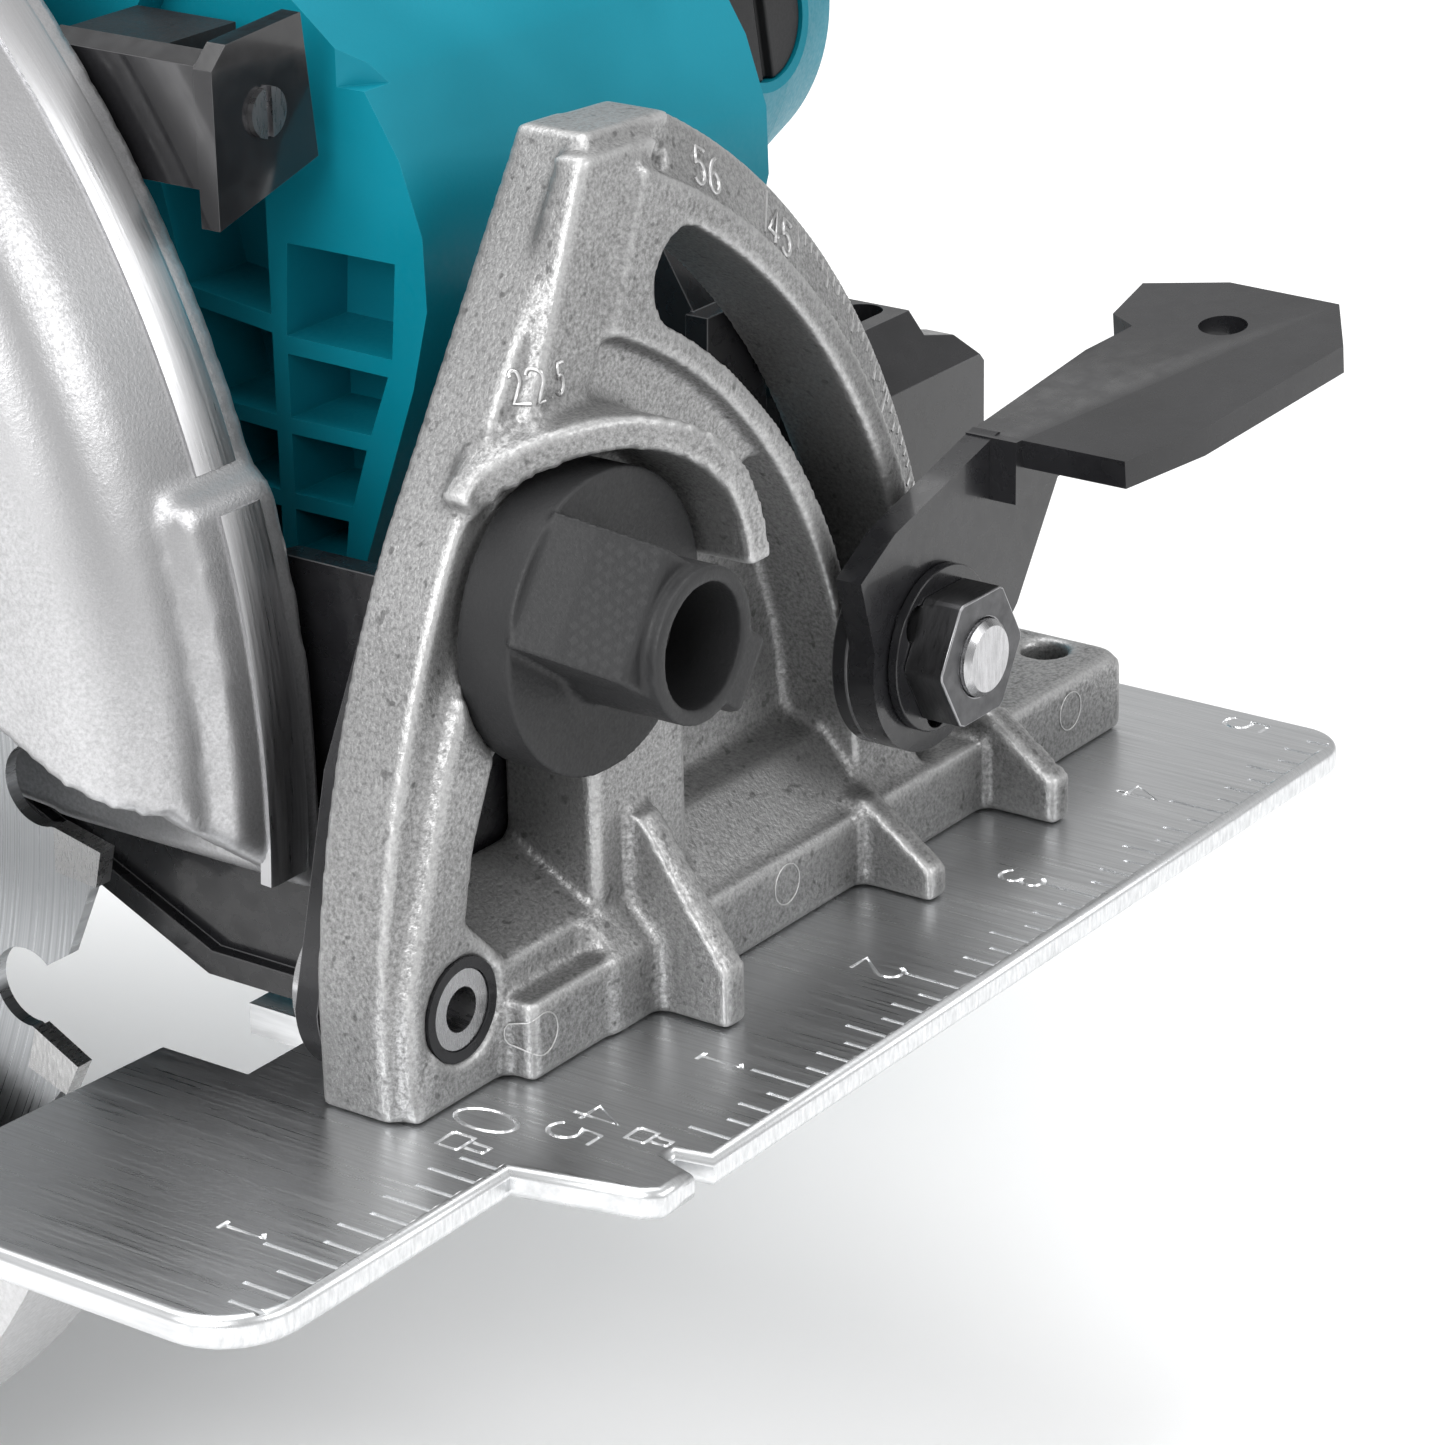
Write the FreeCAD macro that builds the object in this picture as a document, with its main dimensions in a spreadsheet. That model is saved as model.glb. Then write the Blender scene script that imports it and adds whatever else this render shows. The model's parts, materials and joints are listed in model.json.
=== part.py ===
import FreeCAD, Part
import math
import os
import Sketcher

# Corded 185 mm circular saw.  +Z is up, -Y is the cutting direction, +X is the motor side.
# The origin is on the sole, at the 0 degree cut line and the front edge of the blade-side strip.

doc = FreeCAD.newDocument("circular_saw")
sheet = doc.addObject("Spreadsheet::Sheet", "sizes")
V = FreeCAD.Vector
NODES = []


class Size(float):
    """A number of the spreadsheet that keeps the expression it stands for."""

    def __new__(cls, value, text):
        size = float.__new__(cls, value)
        size.text = text
        return size

    def join(self, other, sign, value, swap=False):
        first, second = (text_of(other), self.text) if swap else (self.text, text_of(other))
        return Size(value, "(%s %s %s)" % (first, sign, second))

    def __add__(self, other):
        return self.join(other, "+", float(self) + float(other))

    def __radd__(self, other):
        return self.join(other, "+", float(other) + float(self), True)

    def __sub__(self, other):
        return self.join(other, "-", float(self) - float(other))

    def __rsub__(self, other):
        return self.join(other, "-", float(other) - float(self), True)

    def __mul__(self, other):
        return self.join(other, "*", float(self) * float(other))

    def __rmul__(self, other):
        return self.join(other, "*", float(other) * float(self), True)

    def __truediv__(self, other):
        return self.join(other, "/", float(self) / float(other))

    def __neg__(self):
        return Size(-float(self), "(0 - %s)" % self.text)


def text_of(value):
    return value.text if isinstance(value, Size) else repr(float(value))


def sized(names):
    """Write one driving dimension per row and return them as Size values."""
    made = {}
    for name, value in names.items():
        row = len(sized.rows) + 1
        sized.rows.append(name)
        sheet.set("A%d" % row, name)
        sheet.set("B%d" % row, str(value))
        sheet.setAlias("B%d" % row, name)
        made[name] = Size(value, "sizes." + name)
    return made


sized.rows = []


def bind(target, prop, value):
    """Bind a property to the sheet when the value comes from it."""
    if isinstance(value, Size):
        target.setExpression(prop, value.text)
    elif "." not in prop:
        setattr(target, prop, float(value))
    else:
        target.setExpression(prop, repr(float(value)))


def place(target, at=(0, 0, 0), turn=None):
    """Put an object at a bound position, with an optional fixed rotation."""
    rotation = turn if turn else FreeCAD.Rotation()
    target.Placement = FreeCAD.Placement(V(*[float(c) for c in at]), rotation)
    for letter, value in zip("xyz", at):
        bind(target, "Placement.Base." + letter, value)
    return target


def name_node(target, label):
    target.Label = label
    NODES.append(target)
    return target


ALONG_X = FreeCAD.Rotation(V(0, 0, 1), V(1, 0, 0))
ALONG_Y = FreeCAD.Rotation(V(0, 0, 1), V(0, 1, 0))
PLANES = {"XY": "XY_Plane", "XZ": "XZ_Plane", "YZ": "YZ_Plane"}


# ---------------------------------------------------------------- sketches and features

def new_body(label):
    return doc.addObject("PartDesign::Body", label)


def new_sketch(body, plane, offset=0):
    sketch = body.newObject("Sketcher::SketchObject", body.Name + "_sketch")
    face = [f for f in body.Origin.OriginFeatures if f.Role == PLANES[plane]][0]
    sketch.AttachmentSupport = [(face, "")]
    sketch.MapMode = "FlatFace"
    if isinstance(offset, Size) or offset:
        bind(sketch, "AttachmentOffset.Base.z", offset)
    return sketch


def outline(sketch, points):
    """A closed loop of straight edges through points, each one bound to the sheet.

    A point with a third value is reached by an arc whose bulge is that value.
    """
    first = sketch.GeometryCount
    count = len(points)
    for index in range(count):
        start, end = points[index], points[(index + 1) % count]
        a, b = V(float(start[0]), float(start[1]), 0), V(float(end[0]), float(end[1]), 0)
        if len(end) == 3:
            chord = b - a
            middle = (a + b) * 0.5 + V(chord.y, -chord.x, 0).normalize() * end[2]
            sketch.addGeometry(Part.Arc(a, middle, b))
        else:
            sketch.addGeometry(Part.LineSegment(a, b))
    for index in range(count):
        here, after = first + index, first + (index + 1) % count
        corner = V(float(points[(index + 1) % count][0]), float(points[(index + 1) % count][1]), 0)
        sketch.addConstraint(Sketcher.Constraint("Coincident", here, end_at(sketch, here, corner),
                                                 after, end_at(sketch, after, corner)))
        for kind, number in (("DistanceX", 0), ("DistanceY", 1)):
            value = points[(index + 1) % count][number]
            row = sketch.addConstraint(Sketcher.Constraint(kind, -1, 1, after,
                                                           end_at(sketch, after, corner), float(value)))
            if isinstance(value, Size):
                sketch.setExpression("Constraints[%d]" % row, value.text)
        if len(points[(index + 1) % count]) == 3:
            sketch.addConstraint(Sketcher.Constraint("Radius", here, sketch.Geometry[here].Radius))


def end_at(sketch, edge, corner):
    return 1 if (sketch.Geometry[edge].StartPoint - corner).Length < 1e-6 else 2


def ring(sketch, centre, radius):
    """A full circle with its centre and radius bound to the sheet."""
    edge = sketch.addGeometry(Part.Circle(V(float(centre[0]), float(centre[1]), 0), V(0, 0, 1), float(radius)))
    for kind, value in (("DistanceX", centre[0]), ("DistanceY", centre[1])):
        row = sketch.addConstraint(Sketcher.Constraint(kind, -1, 1, edge, 3, float(value)))
        if isinstance(value, Size):
            sketch.setExpression("Constraints[%d]" % row, value.text)
    row = sketch.addConstraint(Sketcher.Constraint("Radius", edge, float(radius)))
    if isinstance(radius, Size):
        sketch.setExpression("Constraints[%d]" % row, radius.text)


def padded(label, plane, loops, depth, offset=0, circles=(), at=None, turn=None):
    """A body made by padding one sketch along the plane's normal."""
    body = new_body(label)
    sketch = new_sketch(body, plane, offset)
    for points in loops:
        outline(sketch, points)
    for centre, radius in circles:
        ring(sketch, centre, radius)
    pad = body.newObject("PartDesign::Pad", label + "_pad")
    pad.Profile = sketch
    bind(pad, "Length", depth)
    if at is not None:
        place(body, at, turn)
    return body


def turned(label, profile, at=(0, 0, 0), turn=None):
    """A body of revolution: the profile is (radius, height) and turns about the local Z axis."""
    body = new_body(label)
    sketch = new_sketch(body, "XZ")
    outline(sketch, profile)
    spin = body.newObject("PartDesign::Revolution", label + "_turn")
    spin.Profile = sketch
    spin.ReferenceAxis = (sketch, ["V_Axis"])
    spin.Angle = 360
    place(body, at, turn)
    return body


def shaped(label, shape):
    """A piece whose surfaces need Part's own functions."""
    feature = doc.addObject("Part::Feature", label)
    feature.Shape = shape
    return name_node(feature, label)


# ---------------------------------------------------------------- plain shape functions

def prism(points, plane, low, high):
    """Extrude a closed outline; an entry of two points is an arc through the first to the second."""
    lift = {"XY": lambda p: V(p[0], p[1], low), "XZ": lambda p: V(p[0], low, p[1]),
            "YZ": lambda p: V(low, p[0], p[1])}[plane]
    push = {"XY": V(0, 0, high - low), "XZ": V(0, high - low, 0), "YZ": V(high - low, 0, 0)}[plane]
    ends = [entry[-1] if isinstance(entry[0], (tuple, list)) else entry for entry in points]
    edges = []
    for index, entry in enumerate(points):
        start = lift(ends[index - 1])
        if isinstance(entry[0], (tuple, list)):
            edges.append(Part.Arc(start, lift(entry[0]), lift(entry[1])).toShape())
        elif (start - lift(entry)).Length > 1e-6:
            edges.append(Part.makeLine(start, lift(entry)))
    return Part.Face(Part.Wire(edges)).extrude(push)


def tube(radius, length, at, axis, bore=0):
    solid = Part.makeCylinder(radius, length, V(*at), V(*axis))
    if bore:
        reach = V(*axis) * -1.0
        solid = solid.cut(Part.makeCylinder(bore, length + 2, V(*at) + reach, V(*axis)))
    return solid


def polar(centre, radius, degrees):
    angle = math.radians(degrees)
    return (centre[0] + radius * math.cos(angle), centre[1] + radius * math.sin(angle))


def sector(centre, inner, outer, start, stop, plane, low, high):
    """An annular sector between two angles."""
    middle = (start + stop) / 2.0
    points = [polar(centre, inner, start), polar(centre, outer, start),
              (polar(centre, outer, middle), polar(centre, outer, stop)),
              polar(centre, inner, stop),
              (polar(centre, inner, middle), polar(centre, inner, start))]
    return prism(points[1:], plane, low, high)


def hexagon(across, low, high, centre):
    points = [polar(centre, across / math.sqrt(3.0), 60 * turn) for turn in range(6)]
    return prism(points, "XZ", low, high)


# ---------------------------------------------------------------- driving dimensions

S = sized({
    # sole
    "plate_t": 3.2, "strip_side": 39.5, "motor_side": 128.4, "sole_back": 272.0, "toe_reach": 14.0,
    "slot_left": 24.5, "slot_right": 42.0, "slot_front": 43.0, "slot_back": 246.0,
    # blade and spindle
    "spindle_y": 141.0, "spindle_z": 28.5, "blade_r": 92.5, "blade_t": 1.4, "kerf_half": 1.0,
    "spindle_r": 7.94, "flange_r": 20.0,
    # bevel quadrant
    "pivot_x": 6.6, "pivot_up": 8.9, "band_y": 11.0, "cast_back": 22.0, "slot_mean": 70.4,
    "slot_half": 4.8, "rim_r": 84.5, "bolt_angle": 12.0, "slot_top_angle": 59.5,
    # stop knob
    "knob_x": 23.6, "knob_z": 45.6, "knob_r": 14.5,
    # tilting frame
    "frame_y": 22.3, "frame_t": 2.7, "web_x": 12.4, "hinge_y": 41.0, "hinge_z": 74.0, "hinge_r": 5.0,
    # upper guard
    "guard_r": 109.0, "guard_left": 14.5, "guard_right": 10.4, "guard_wall": 2.6,
    # lower guard
    "lower_r": 100.3, "lower_left": 8.6, "lower_right": 7.2, "lower_wall": 1.8, "hub_r": 24.0,
    # drive
    "motor_y": 127.6, "motor_z": 54.0, "motor_r": 42.0, "motor_wall": 3.0, "motor_start": 36.0,
    "cone_start": 128.0, "cone_end": 186.0, "cone_r": 29.0, "motor_end": 200.0,
    "gear_teeth": 40.0, "pinion_teeth": 8.0, "gear_x": 18.0, "gear_w": 9.0,
    # rear handle and depth guide
    "handle_x": 37.0, "handle_half": 16.0, "guide_x": 15.4, "guide_t": 2.5, "guide_r": 186.0,
})
GAP = 0.05          # running clearance on a radius
AIR = 0.4           # clearance between pieces of different bodies
S["pivot_z"] = S["plate_t"] + S["pivot_up"]
g = type("Sizes", (), S)


# ---------------------------------------------------------------- base

RIVETS = [(30.0, 17.0), (62.0, 17.0)]
RIVET_R = 2.0


def make_base_plate():
    """Rolled aluminium sole with the blade opening, the sight tab and its 45 degree notch."""
    toe = -g.toe_reach
    body = new_body("base_plate")
    sketch = new_sketch(body, "XY")
    outline(sketch, [
        (-g.strip_side, 8.0), (-31.5, 0.0, 2.34), (-2.4, 0.0), (0.4, toe + 1.8), (1.8, toe),
        (6.4, toe), (7.5, toe + 3.7), (8.7, toe + 3.7), (9.4, toe), (g.motor_side - 5.0, toe),
        (g.motor_side, toe + 5.0, 1.46), (g.motor_side, g.sole_back - 10.0),
        (g.motor_side - 10.0, g.sole_back, 2.93), (10.0 - g.strip_side, g.sole_back),
        (-g.strip_side, g.sole_back - 10.0, 2.93)])
    outline(sketch, [
        (-g.slot_left, g.slot_front + 1.0), (-0.9, g.slot_front - 0.5), (-0.9, 32.0), (11.0, 32.0),
        (11.0, g.slot_front - 1.0), (g.slot_right, g.slot_front - 1.0), (g.slot_right, g.slot_back),
        (-g.slot_left, g.slot_back)])
    for centre in RIVETS + rear_rivets():
        ring(sketch, centre, RIVET_R)
    pad = body.newObject("PartDesign::Pad", "base_pad")
    pad.Profile = sketch
    bind(pad, "Length", g.plate_t)
    doc.recompute()
    edges = rim_edges(body.Shape, g.plate_t)
    rounding = body.newObject("PartDesign::Fillet", "base_rounding")
    rounding.Base = (pad, edges)
    bind(rounding, "Radius", g.plate_t / 3.2)
    return name_node(body, "base_plate")


def rim_edges(shape, height):
    """Names of the top and bottom edges of the outer boundary."""
    names = []
    box = shape.BoundBox
    for number, edge in enumerate(shape.Edges):
        middle = edge.CenterOfMass
        level = abs(edge.BoundBox.ZLength) < 1e-6
        outside = (middle.x < box.XMin + 9 or middle.x > box.XMax - 9
                   or middle.y < 1.0 or middle.y > box.YMax - 9)
        if level and outside and (middle.z < 0.1 or middle.z > height - 0.1):
            names.append("Edge%d" % (number + 1))
    return names


def quadrant_floor():
    """Foot, upright and band of the quadrant as one blank."""
    px, pz, back, low = g.pivot_x, g.pivot_z, g.cast_back, g.plate_t
    centre = (px, pz)
    left = [(-2.2, low), (-2.4, low + 10.0), ((1.0, low + 30.0), (9.8, low + 51.5)),
            (31.6, low + 85.2), (44.6, 87.6)]
    rim_low = polar(centre, g.rim_r, -2.0)
    rim = (polar(centre, g.rim_r, 30.0), rim_low)
    plate = prism(left + [rim, (rim_low[0], low)], "XZ", 15.0, back)
    return plate, centre


def make_quadrant():
    """Die-cast bevel quadrant: upright, slotted band, scale rim, ribs and foot."""
    px, pz, back, low = g.pivot_x, g.pivot_z, g.cast_back, g.plate_t
    plate, centre = quadrant_floor()
    bolt_low = g.bolt_angle - 2.4
    # upright: raised face down the left side, widening to the hinge boss at the bottom
    upright = prism([(-1.2, low), (-1.0, low + 12.0), ((2.2, low + 22.0), (5.9, low + 33.0)),
                     (17.0, low + 56.0), (28.6, low + 84.0), (40.2, 86.6),
                     (35.6, 79.9), (31.0, 70.0), (27.0, 63.0), (18.0, 50.0), (13.6, low + 33.0),
                     (9.5, low + 24.0), (7.9, low + 17.0), (13.5, low + 11.5), (24.0, low + 10.4),
                     (24.0, low)], "XZ", 12.0, 15.5)
    flank = prism([(-2.2, low), (-2.4, low + 10.0), ((1.0, low + 30.0), (9.8, low + 51.5)),
                   (31.6, low + 85.2), (44.6, 87.6), (37.0, 80.0), (20.0, 50.0), (8.0, low + 16.0),
                   (8.0, low)], "XZ", 14.0, back)
    web = prism([(12.0, low + 30.0), (18.0, 50.0), (33.0, 76.0), polar(centre, 64.0, 66.0),
                 (polar(centre, 64.0, 52.0), polar(centre, 64.0, 38.0)), (40.5, 47.0), (42.0, 36.0),
                 (36.0, 28.0), (22.0, 28.0)], "XZ", 13.4, 16.0)
    band = sector(centre, 62.9, 78.4, bolt_low - 9.0, 67.7, "XZ", g.band_y, back)
    rim = sector(centre, 78.0, g.rim_r, bolt_low - 11.0, 63.5, "XZ", 12.4, back)
    bevel = Part.makeCone(g.rim_r + 2.6, 76.0, 4.3, V(px, 16.0, pz), V(0, -1, 0))
    keep = Part.makeCylinder(g.rim_r + 6, 6.4, V(px, 10.0, pz), V(0, 1, 0)).cut(bevel)
    keep = keep.cut(Part.makeCylinder(g.rim_r + 8, 3.0, V(px, 16.0, pz), V(0, 1, 0)))
    rim = rim.cut(keep)
    pocket = prism([polar(centre, 62.9, 38.0), (polar(centre, 62.9, 20.0), polar(centre, 62.9, 6.0)),
                    (60.0, low + 8.0), (40.0, low + 15.0), (38.5, 42.0), (42.0, 47.0)], "XZ", 10.0, 19.4)
    blank = plate.fuse([upright, flank, web, band, rim]).cut(pocket)
    # block under the knob, right of the window
    pillar = prism([(26.3, low), (26.3, 33.0), (41.0, 36.0), (41.0, low)], "XZ", 11.2, 20.0)
    foot = prism([(12.0, low), (117.0, low), (117.0, low + 8.0), (12.0, low + 8.0)], "XZ", 8.2, back)
    ledge = prism([(8.2, low + 7.0), (15.0, low + 14.5), (20.5, low + 16.0), (20.5, low), (8.2, low)],
                  "YZ", 36.0, 80.0)
    toe = prism([(-1.2, low), (27.0, low), (27.0, low + 10.4), (13.0, low + 11.2), (6.0, low + 14.0)],
                "XZ", 11.6, back)
    body = blank.fuse([pillar, foot, ledge, toe])
    pad = prism([(94.0, 8.2), (114.0, 8.2), ((116.4, 9.4), (117.0, 12.0)), (117.0, 24.0), (94.0, 24.0)],
                "XY", low, low + 9.0)
    body = body.fuse(pad)
    body = body.fuse(rib_solids(low))
    body = body.fuse(make_hood())
    window = prism([(9.2, low + 19.0), (13.2, low + 30.5), (18.0, low + 32.0), (26.3, low + 27.0),
                    (26.3, low + 10.8), (12.8, low + 11.4)], "XZ", 5.0, back + 1.0)
    slope = prism([(11.0, low + 11.0), (25.0, low + 19.0), (25.0, low), (11.0, low)], "YZ", 6.0, 26.3)
    body = body.cut(window).fuse(slope.common(prism([(7.0, low), (26.3, low), (26.3, 40.0), (7.0, 40.0)],
                                                    "XZ", 11.6, back)))
    slot = sector(centre, g.slot_mean - g.slot_half, g.slot_mean + g.slot_half,
                  bolt_low, g.slot_top_angle, "XZ", 5.0, back + 2.0)
    for angle in (bolt_low, g.slot_top_angle):
        x, z = polar(centre, g.slot_mean, angle)
        slot = slot.fuse(tube(g.slot_half, back + 2.0 - 5.0, (x, 5.0, z), (0, 1, 0)))
    body = body.cut(slot)
    body = body.cut(tube(4.0, 30.0, (px, 5.0, pz), (0, 1, 0)))
    body = body.cut(tube(5.1, 6.3, (px, 7.0, pz), (0, 1, 0)))
    body = body.cut(tube(4.3, 30.0, (g.knob_x, 5.0, g.knob_z), (0, 1, 0)))
    body = body.cut(tube(g.knob_r + AIR, 2.8, (g.knob_x, 10.6, g.knob_z), (0, 1, 0)))
    body = body.cut(tube(2.6, 30.0, (112.6, 15.5, 0.0), (0, 0, 1)))
    for x, y in RIVETS:
        body = body.cut(tube(RIVET_R, 7.0, (x, y, 0.0), (0, 0, 1)))
    return shaped("bevel_quadrant", body.removeSplitter())


def rib_solids(low):
    """Front stiffening ribs: one tall, two short and the small corner rib."""
    ribs = []
    for left, right, tip, shoulder, top in ((31.0, 34.2, 6.0, 9.5, 20.0), (66.2, 69.4, 3.4, 8.0, 9.4),
                                            (89.3, 92.5, 5.0, 8.0, 11.0)):
        ribs.append(prism([(-0.2, low), (-0.2, low + tip), (shoulder, low + top), (16.0, low + top),
                           (16.0, low)], "YZ", left, right))
    ribs.append(prism([(7.8, low), (7.8, low + 7.6), (12.0, low + 12.0), (16.0, low + 12.0), (16.0, low)],
                      "YZ", 24.4, 30.2))
    return ribs


def make_hood():
    """Curved lip that shields the stop knob from above."""
    centre = (g.knob_x, g.knob_z)
    lip = sector(centre, 16.2, 19.4, 4.0, 132.0, "XZ", 2.4, 16.0)
    slant = prism([(37.0, 0.0), (44.0, 0.0), (44.0, 2.4), (37.0, 2.4), (29.0, 4.6), (20.0, 8.6), (13.0, 13.0),
                   (0.0, 13.0), (0.0, 0.0)], "XY", 20.0, 90.0)
    return lip.cut(slant)


def rear_reach():
    """How far back the lower guard comes while the saw swings about its depth hinge."""
    arm = math.hypot(g.spindle_y - g.hinge_y, g.spindle_z - g.hinge_z)
    return g.hinge_y + arm + g.lower_r + AIR


def rear_wall():
    """The front face of the rear bracket, just behind the rear arm."""
    return rear_reach() + g.frame_t + 0.8


def rear_rivets():
    return [(-1.0, rear_wall() + 8.2), (21.0, rear_wall() + 8.2)]


def make_base_hardware():
    """Rivets and pivot pins that stay with the sole."""
    stems = [tube(RIVET_R, 6.4, (x, y, 0.6), (0, 0, 1)) for x, y in RIVETS]
    shaped("quadrant_rivets", Part.makeCompound(stems))
    # hollow rivet the tilting frame swings on
    length = g.frame_y + g.frame_t + 1.6
    name_node(turned("front_pivot_rivet", [
        (2.2, 12.2), (3.9, 12.2), (4.0 - GAP, 13.4), (4.0 - GAP, length - 1.2), (6.8, length - 1.2),
        (6.8, length), (2.2, length)], (g.pivot_x, 0, g.pivot_z), ALONG_Y), "front_pivot_rivet")
    name_node(turned("pivot_washer", [(4.0, 12.0), (5.05, 12.0), (5.05, 13.25), (4.0, 13.25)],
                     (g.pivot_x, 0, g.pivot_z), ALONG_Y), "pivot_washer")
    # rear angle bracket with its own pin
    wall = rear_wall()
    plate = prism([(-8.0, g.plate_t), (28.0, g.plate_t), (28.0, 10.0), (16.0, 22.0),
                   (-2.0, 22.0), (-8.0, 16.0)], "XZ", wall, wall + 2.5)
    sole = prism([(-8.0, wall), (28.0, wall), (28.0, wall + 12.0), (-8.0, wall + 12.0)], "XY", g.plate_t,
                 g.plate_t + 2.5)
    bracket = plate.fuse(sole).cut(tube(3.0, 6.0, (g.pivot_x, wall - 1, g.pivot_z), (0, 1, 0)))
    for x, y in rear_rivets():
        bracket = bracket.cut(tube(RIVET_R, 8.0, (x, y, 0.0), (0, 0, 1)))
    shaped("rear_bracket", bracket.removeSplitter())
    stems = [tube(RIVET_R, 5.1, (x, y, 0.6), (0, 0, 1)) for x, y in rear_rivets()]
    shaped("rear_bracket_rivets", Part.makeCompound(stems))
    name_node(turned("rear_pivot_pin", [
        (0.0, wall - 3.6), (3.0 - GAP, wall - 3.6), (3.0 - GAP, wall + 2.5), (5.0, wall + 2.5),
        (5.0, wall + 4.3), (0.0, wall + 4.3)], (g.pivot_x, 0, g.pivot_z), ALONG_Y), "rear_pivot_pin")


# ---------------------------------------------------------------- stop knob

def make_stop_knob():
    """Glass-filled plastic dial: disc, hollow barrel, thumb wing and pointer."""
    x, z, radius = g.knob_x, g.knob_z, g.knob_r
    disc = tube(radius, 6.0, (x, 7.2, z), (0, 1, 0))
    hub = tube(4.3 - GAP, 7.0, (x, 13.2, z), (0, 1, 0))
    barrel = tube(7.4, 11.0, (x, -3.8, z), (0, 1, 0))
    wing = prism([(-13.6, 7.2), (-11.6, 3.4), (-8.0, -2.2), (0.0, -2.2), (0.0, 7.2)], "XY", -6.4, 6.4)
    pointer = prism([(0.0, -3.8), (9.0, -3.8), (11.6, -1.0), (9.0, 4.0), (0.0, 4.0)], "XY", -3.6, 3.6)
    grip = wing.fuse(pointer)
    grip.rotate(V(0, 0, 0), V(0, 1, 0), 35.0)
    grip.translate(V(x, 0, z))
    knob = disc.fuse([hub, barrel, grip])
    knob = knob.cut(tube(5.9, 8.8, (x, -3.8, z), (0, 1, 0)))
    knob = knob.cut(tube(2.5, 40.0, (x, 0.0, z), (0, 1, 0)))
    shaped("stop_knob", knob.removeSplitter())
    name_node(turned("knob_screw", [
        (0.0, 2.4), (3.4, 2.4), (4.6, 4.0), (4.6, 5.0), (2.5, 5.0), (2.5, 20.0), (0.0, 20.0)],
        (x, 0, z), ALONG_Y), "knob_screw")


# ---------------------------------------------------------------- bevel clamp

def bolt_place():
    return polar((g.pivot_x, g.pivot_z), g.slot_mean, g.bolt_angle)


def make_bevel_clamp():
    """Clamp bolt, washer, cranked lever, toothed retainer and nut."""
    x, z = bolt_place()
    back = g.frame_y + g.frame_t
    bolt = turned("bevel_bolt", [
        (0.0, -1.2), (3.4, -1.2), (4.0, -0.6), (4.0, back), (9.0, back), (8.0, back + 3.6),
        (0.0, back + 3.6)], (x, 0, z), ALONG_Y)
    name_node(bolt, "bevel_bolt")
    washer = turned("lever_washer", [(4.0 + GAP, 8.5), (10.6, 8.5), (10.9, 8.8), (10.9, 10.6),
                                     (4.0 + GAP, 10.6)], (x, 0, z), ALONG_Y)
    name_node(washer, "lever_washer")
    eye = tube(10.9, 3.0, (x, 5.5, z), (0, 1, 0))
    arm = prism([(x - 10.6, z + 2.4), (x - 13.0, z + 10.6), (x - 7.0, z + 14.0), (x + 11.8, z + 19.2),
                 (x + 25.0, z + 13.6), (x + 15.6, z - 0.4), (x + 6.0, z - 8.8)], "XZ", 5.5, 8.5)
    rise = 0.11
    tip = prism([(x + 11.8, 8.5), (x + 11.8, -9.5), (x + 22.0, -12.6), (x + 46.0, -15.2),
                 (x + 55.5, -9.5), (x + 56.0, 4.0), (x + 52.0, 12.4), (x + 43.5, 11.0), (x + 41.5, 7.4),
                 (x + 34.0, 8.6)], "XY", z + 16.0, z + 19.0)
    tip.rotate(V(x + 12.0, 0, z + 16.0), V(0, 1, 0), -math.degrees(rise))
    knee = prism([(x + 10.4, z + 12.4), (x + 10.4, z + 19.0), (x + 24.0, z + 18.6), (x + 25.0, z + 13.6)],
                 "XZ", 2.5, 8.5)
    lever = eye.fuse([arm, tip, knee])
    lever = lever.cut(tube(4.0 + GAP, 12.0, (x, 0.0, z), (0, 1, 0)))
    lever = lever.cut(tube(2.6, 30.0, (x + 45.0, -1.2, z + 8.0), (0, 0, 1)))
    shaped("bevel_lever", lever.removeSplitter())
    across = 13.0
    retainer = tube(8.6, 1.1, (x, 4.3, z), (0, 1, 0))
    retainer = retainer.cut(tube(5.2, 4.0, (x, 3.0, z), (0, 1, 0)))
    for step in range(3):
        tooth = polar((x, z), 6.2, 120 * step + 20)
        retainer = retainer.cut(tube(2.0, 4.0, (tooth[0], 3.0, tooth[1]), (0, 1, 0)))
    shaped("toothed_retainer", retainer)
    nut = hexagon(across, -0.2, 5.4, (x, z)).cut(retainer)
    nut = nut.common(tube(7.3, 8.0, (x, -1.0, z), (0, 1, 0)))
    nut = nut.cut(tube(4.0 + GAP, 10.0, (x, -2.0, z), (0, 1, 0)))
    shaped("bevel_nut", nut)


# ---------------------------------------------------------------- tilting frame

EAR_X, EAR_T, EAR_R = 62.0, 6.0, 9.0     # tongue that carries the depth hinge
DEPTH_SWING = 34.0


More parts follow.
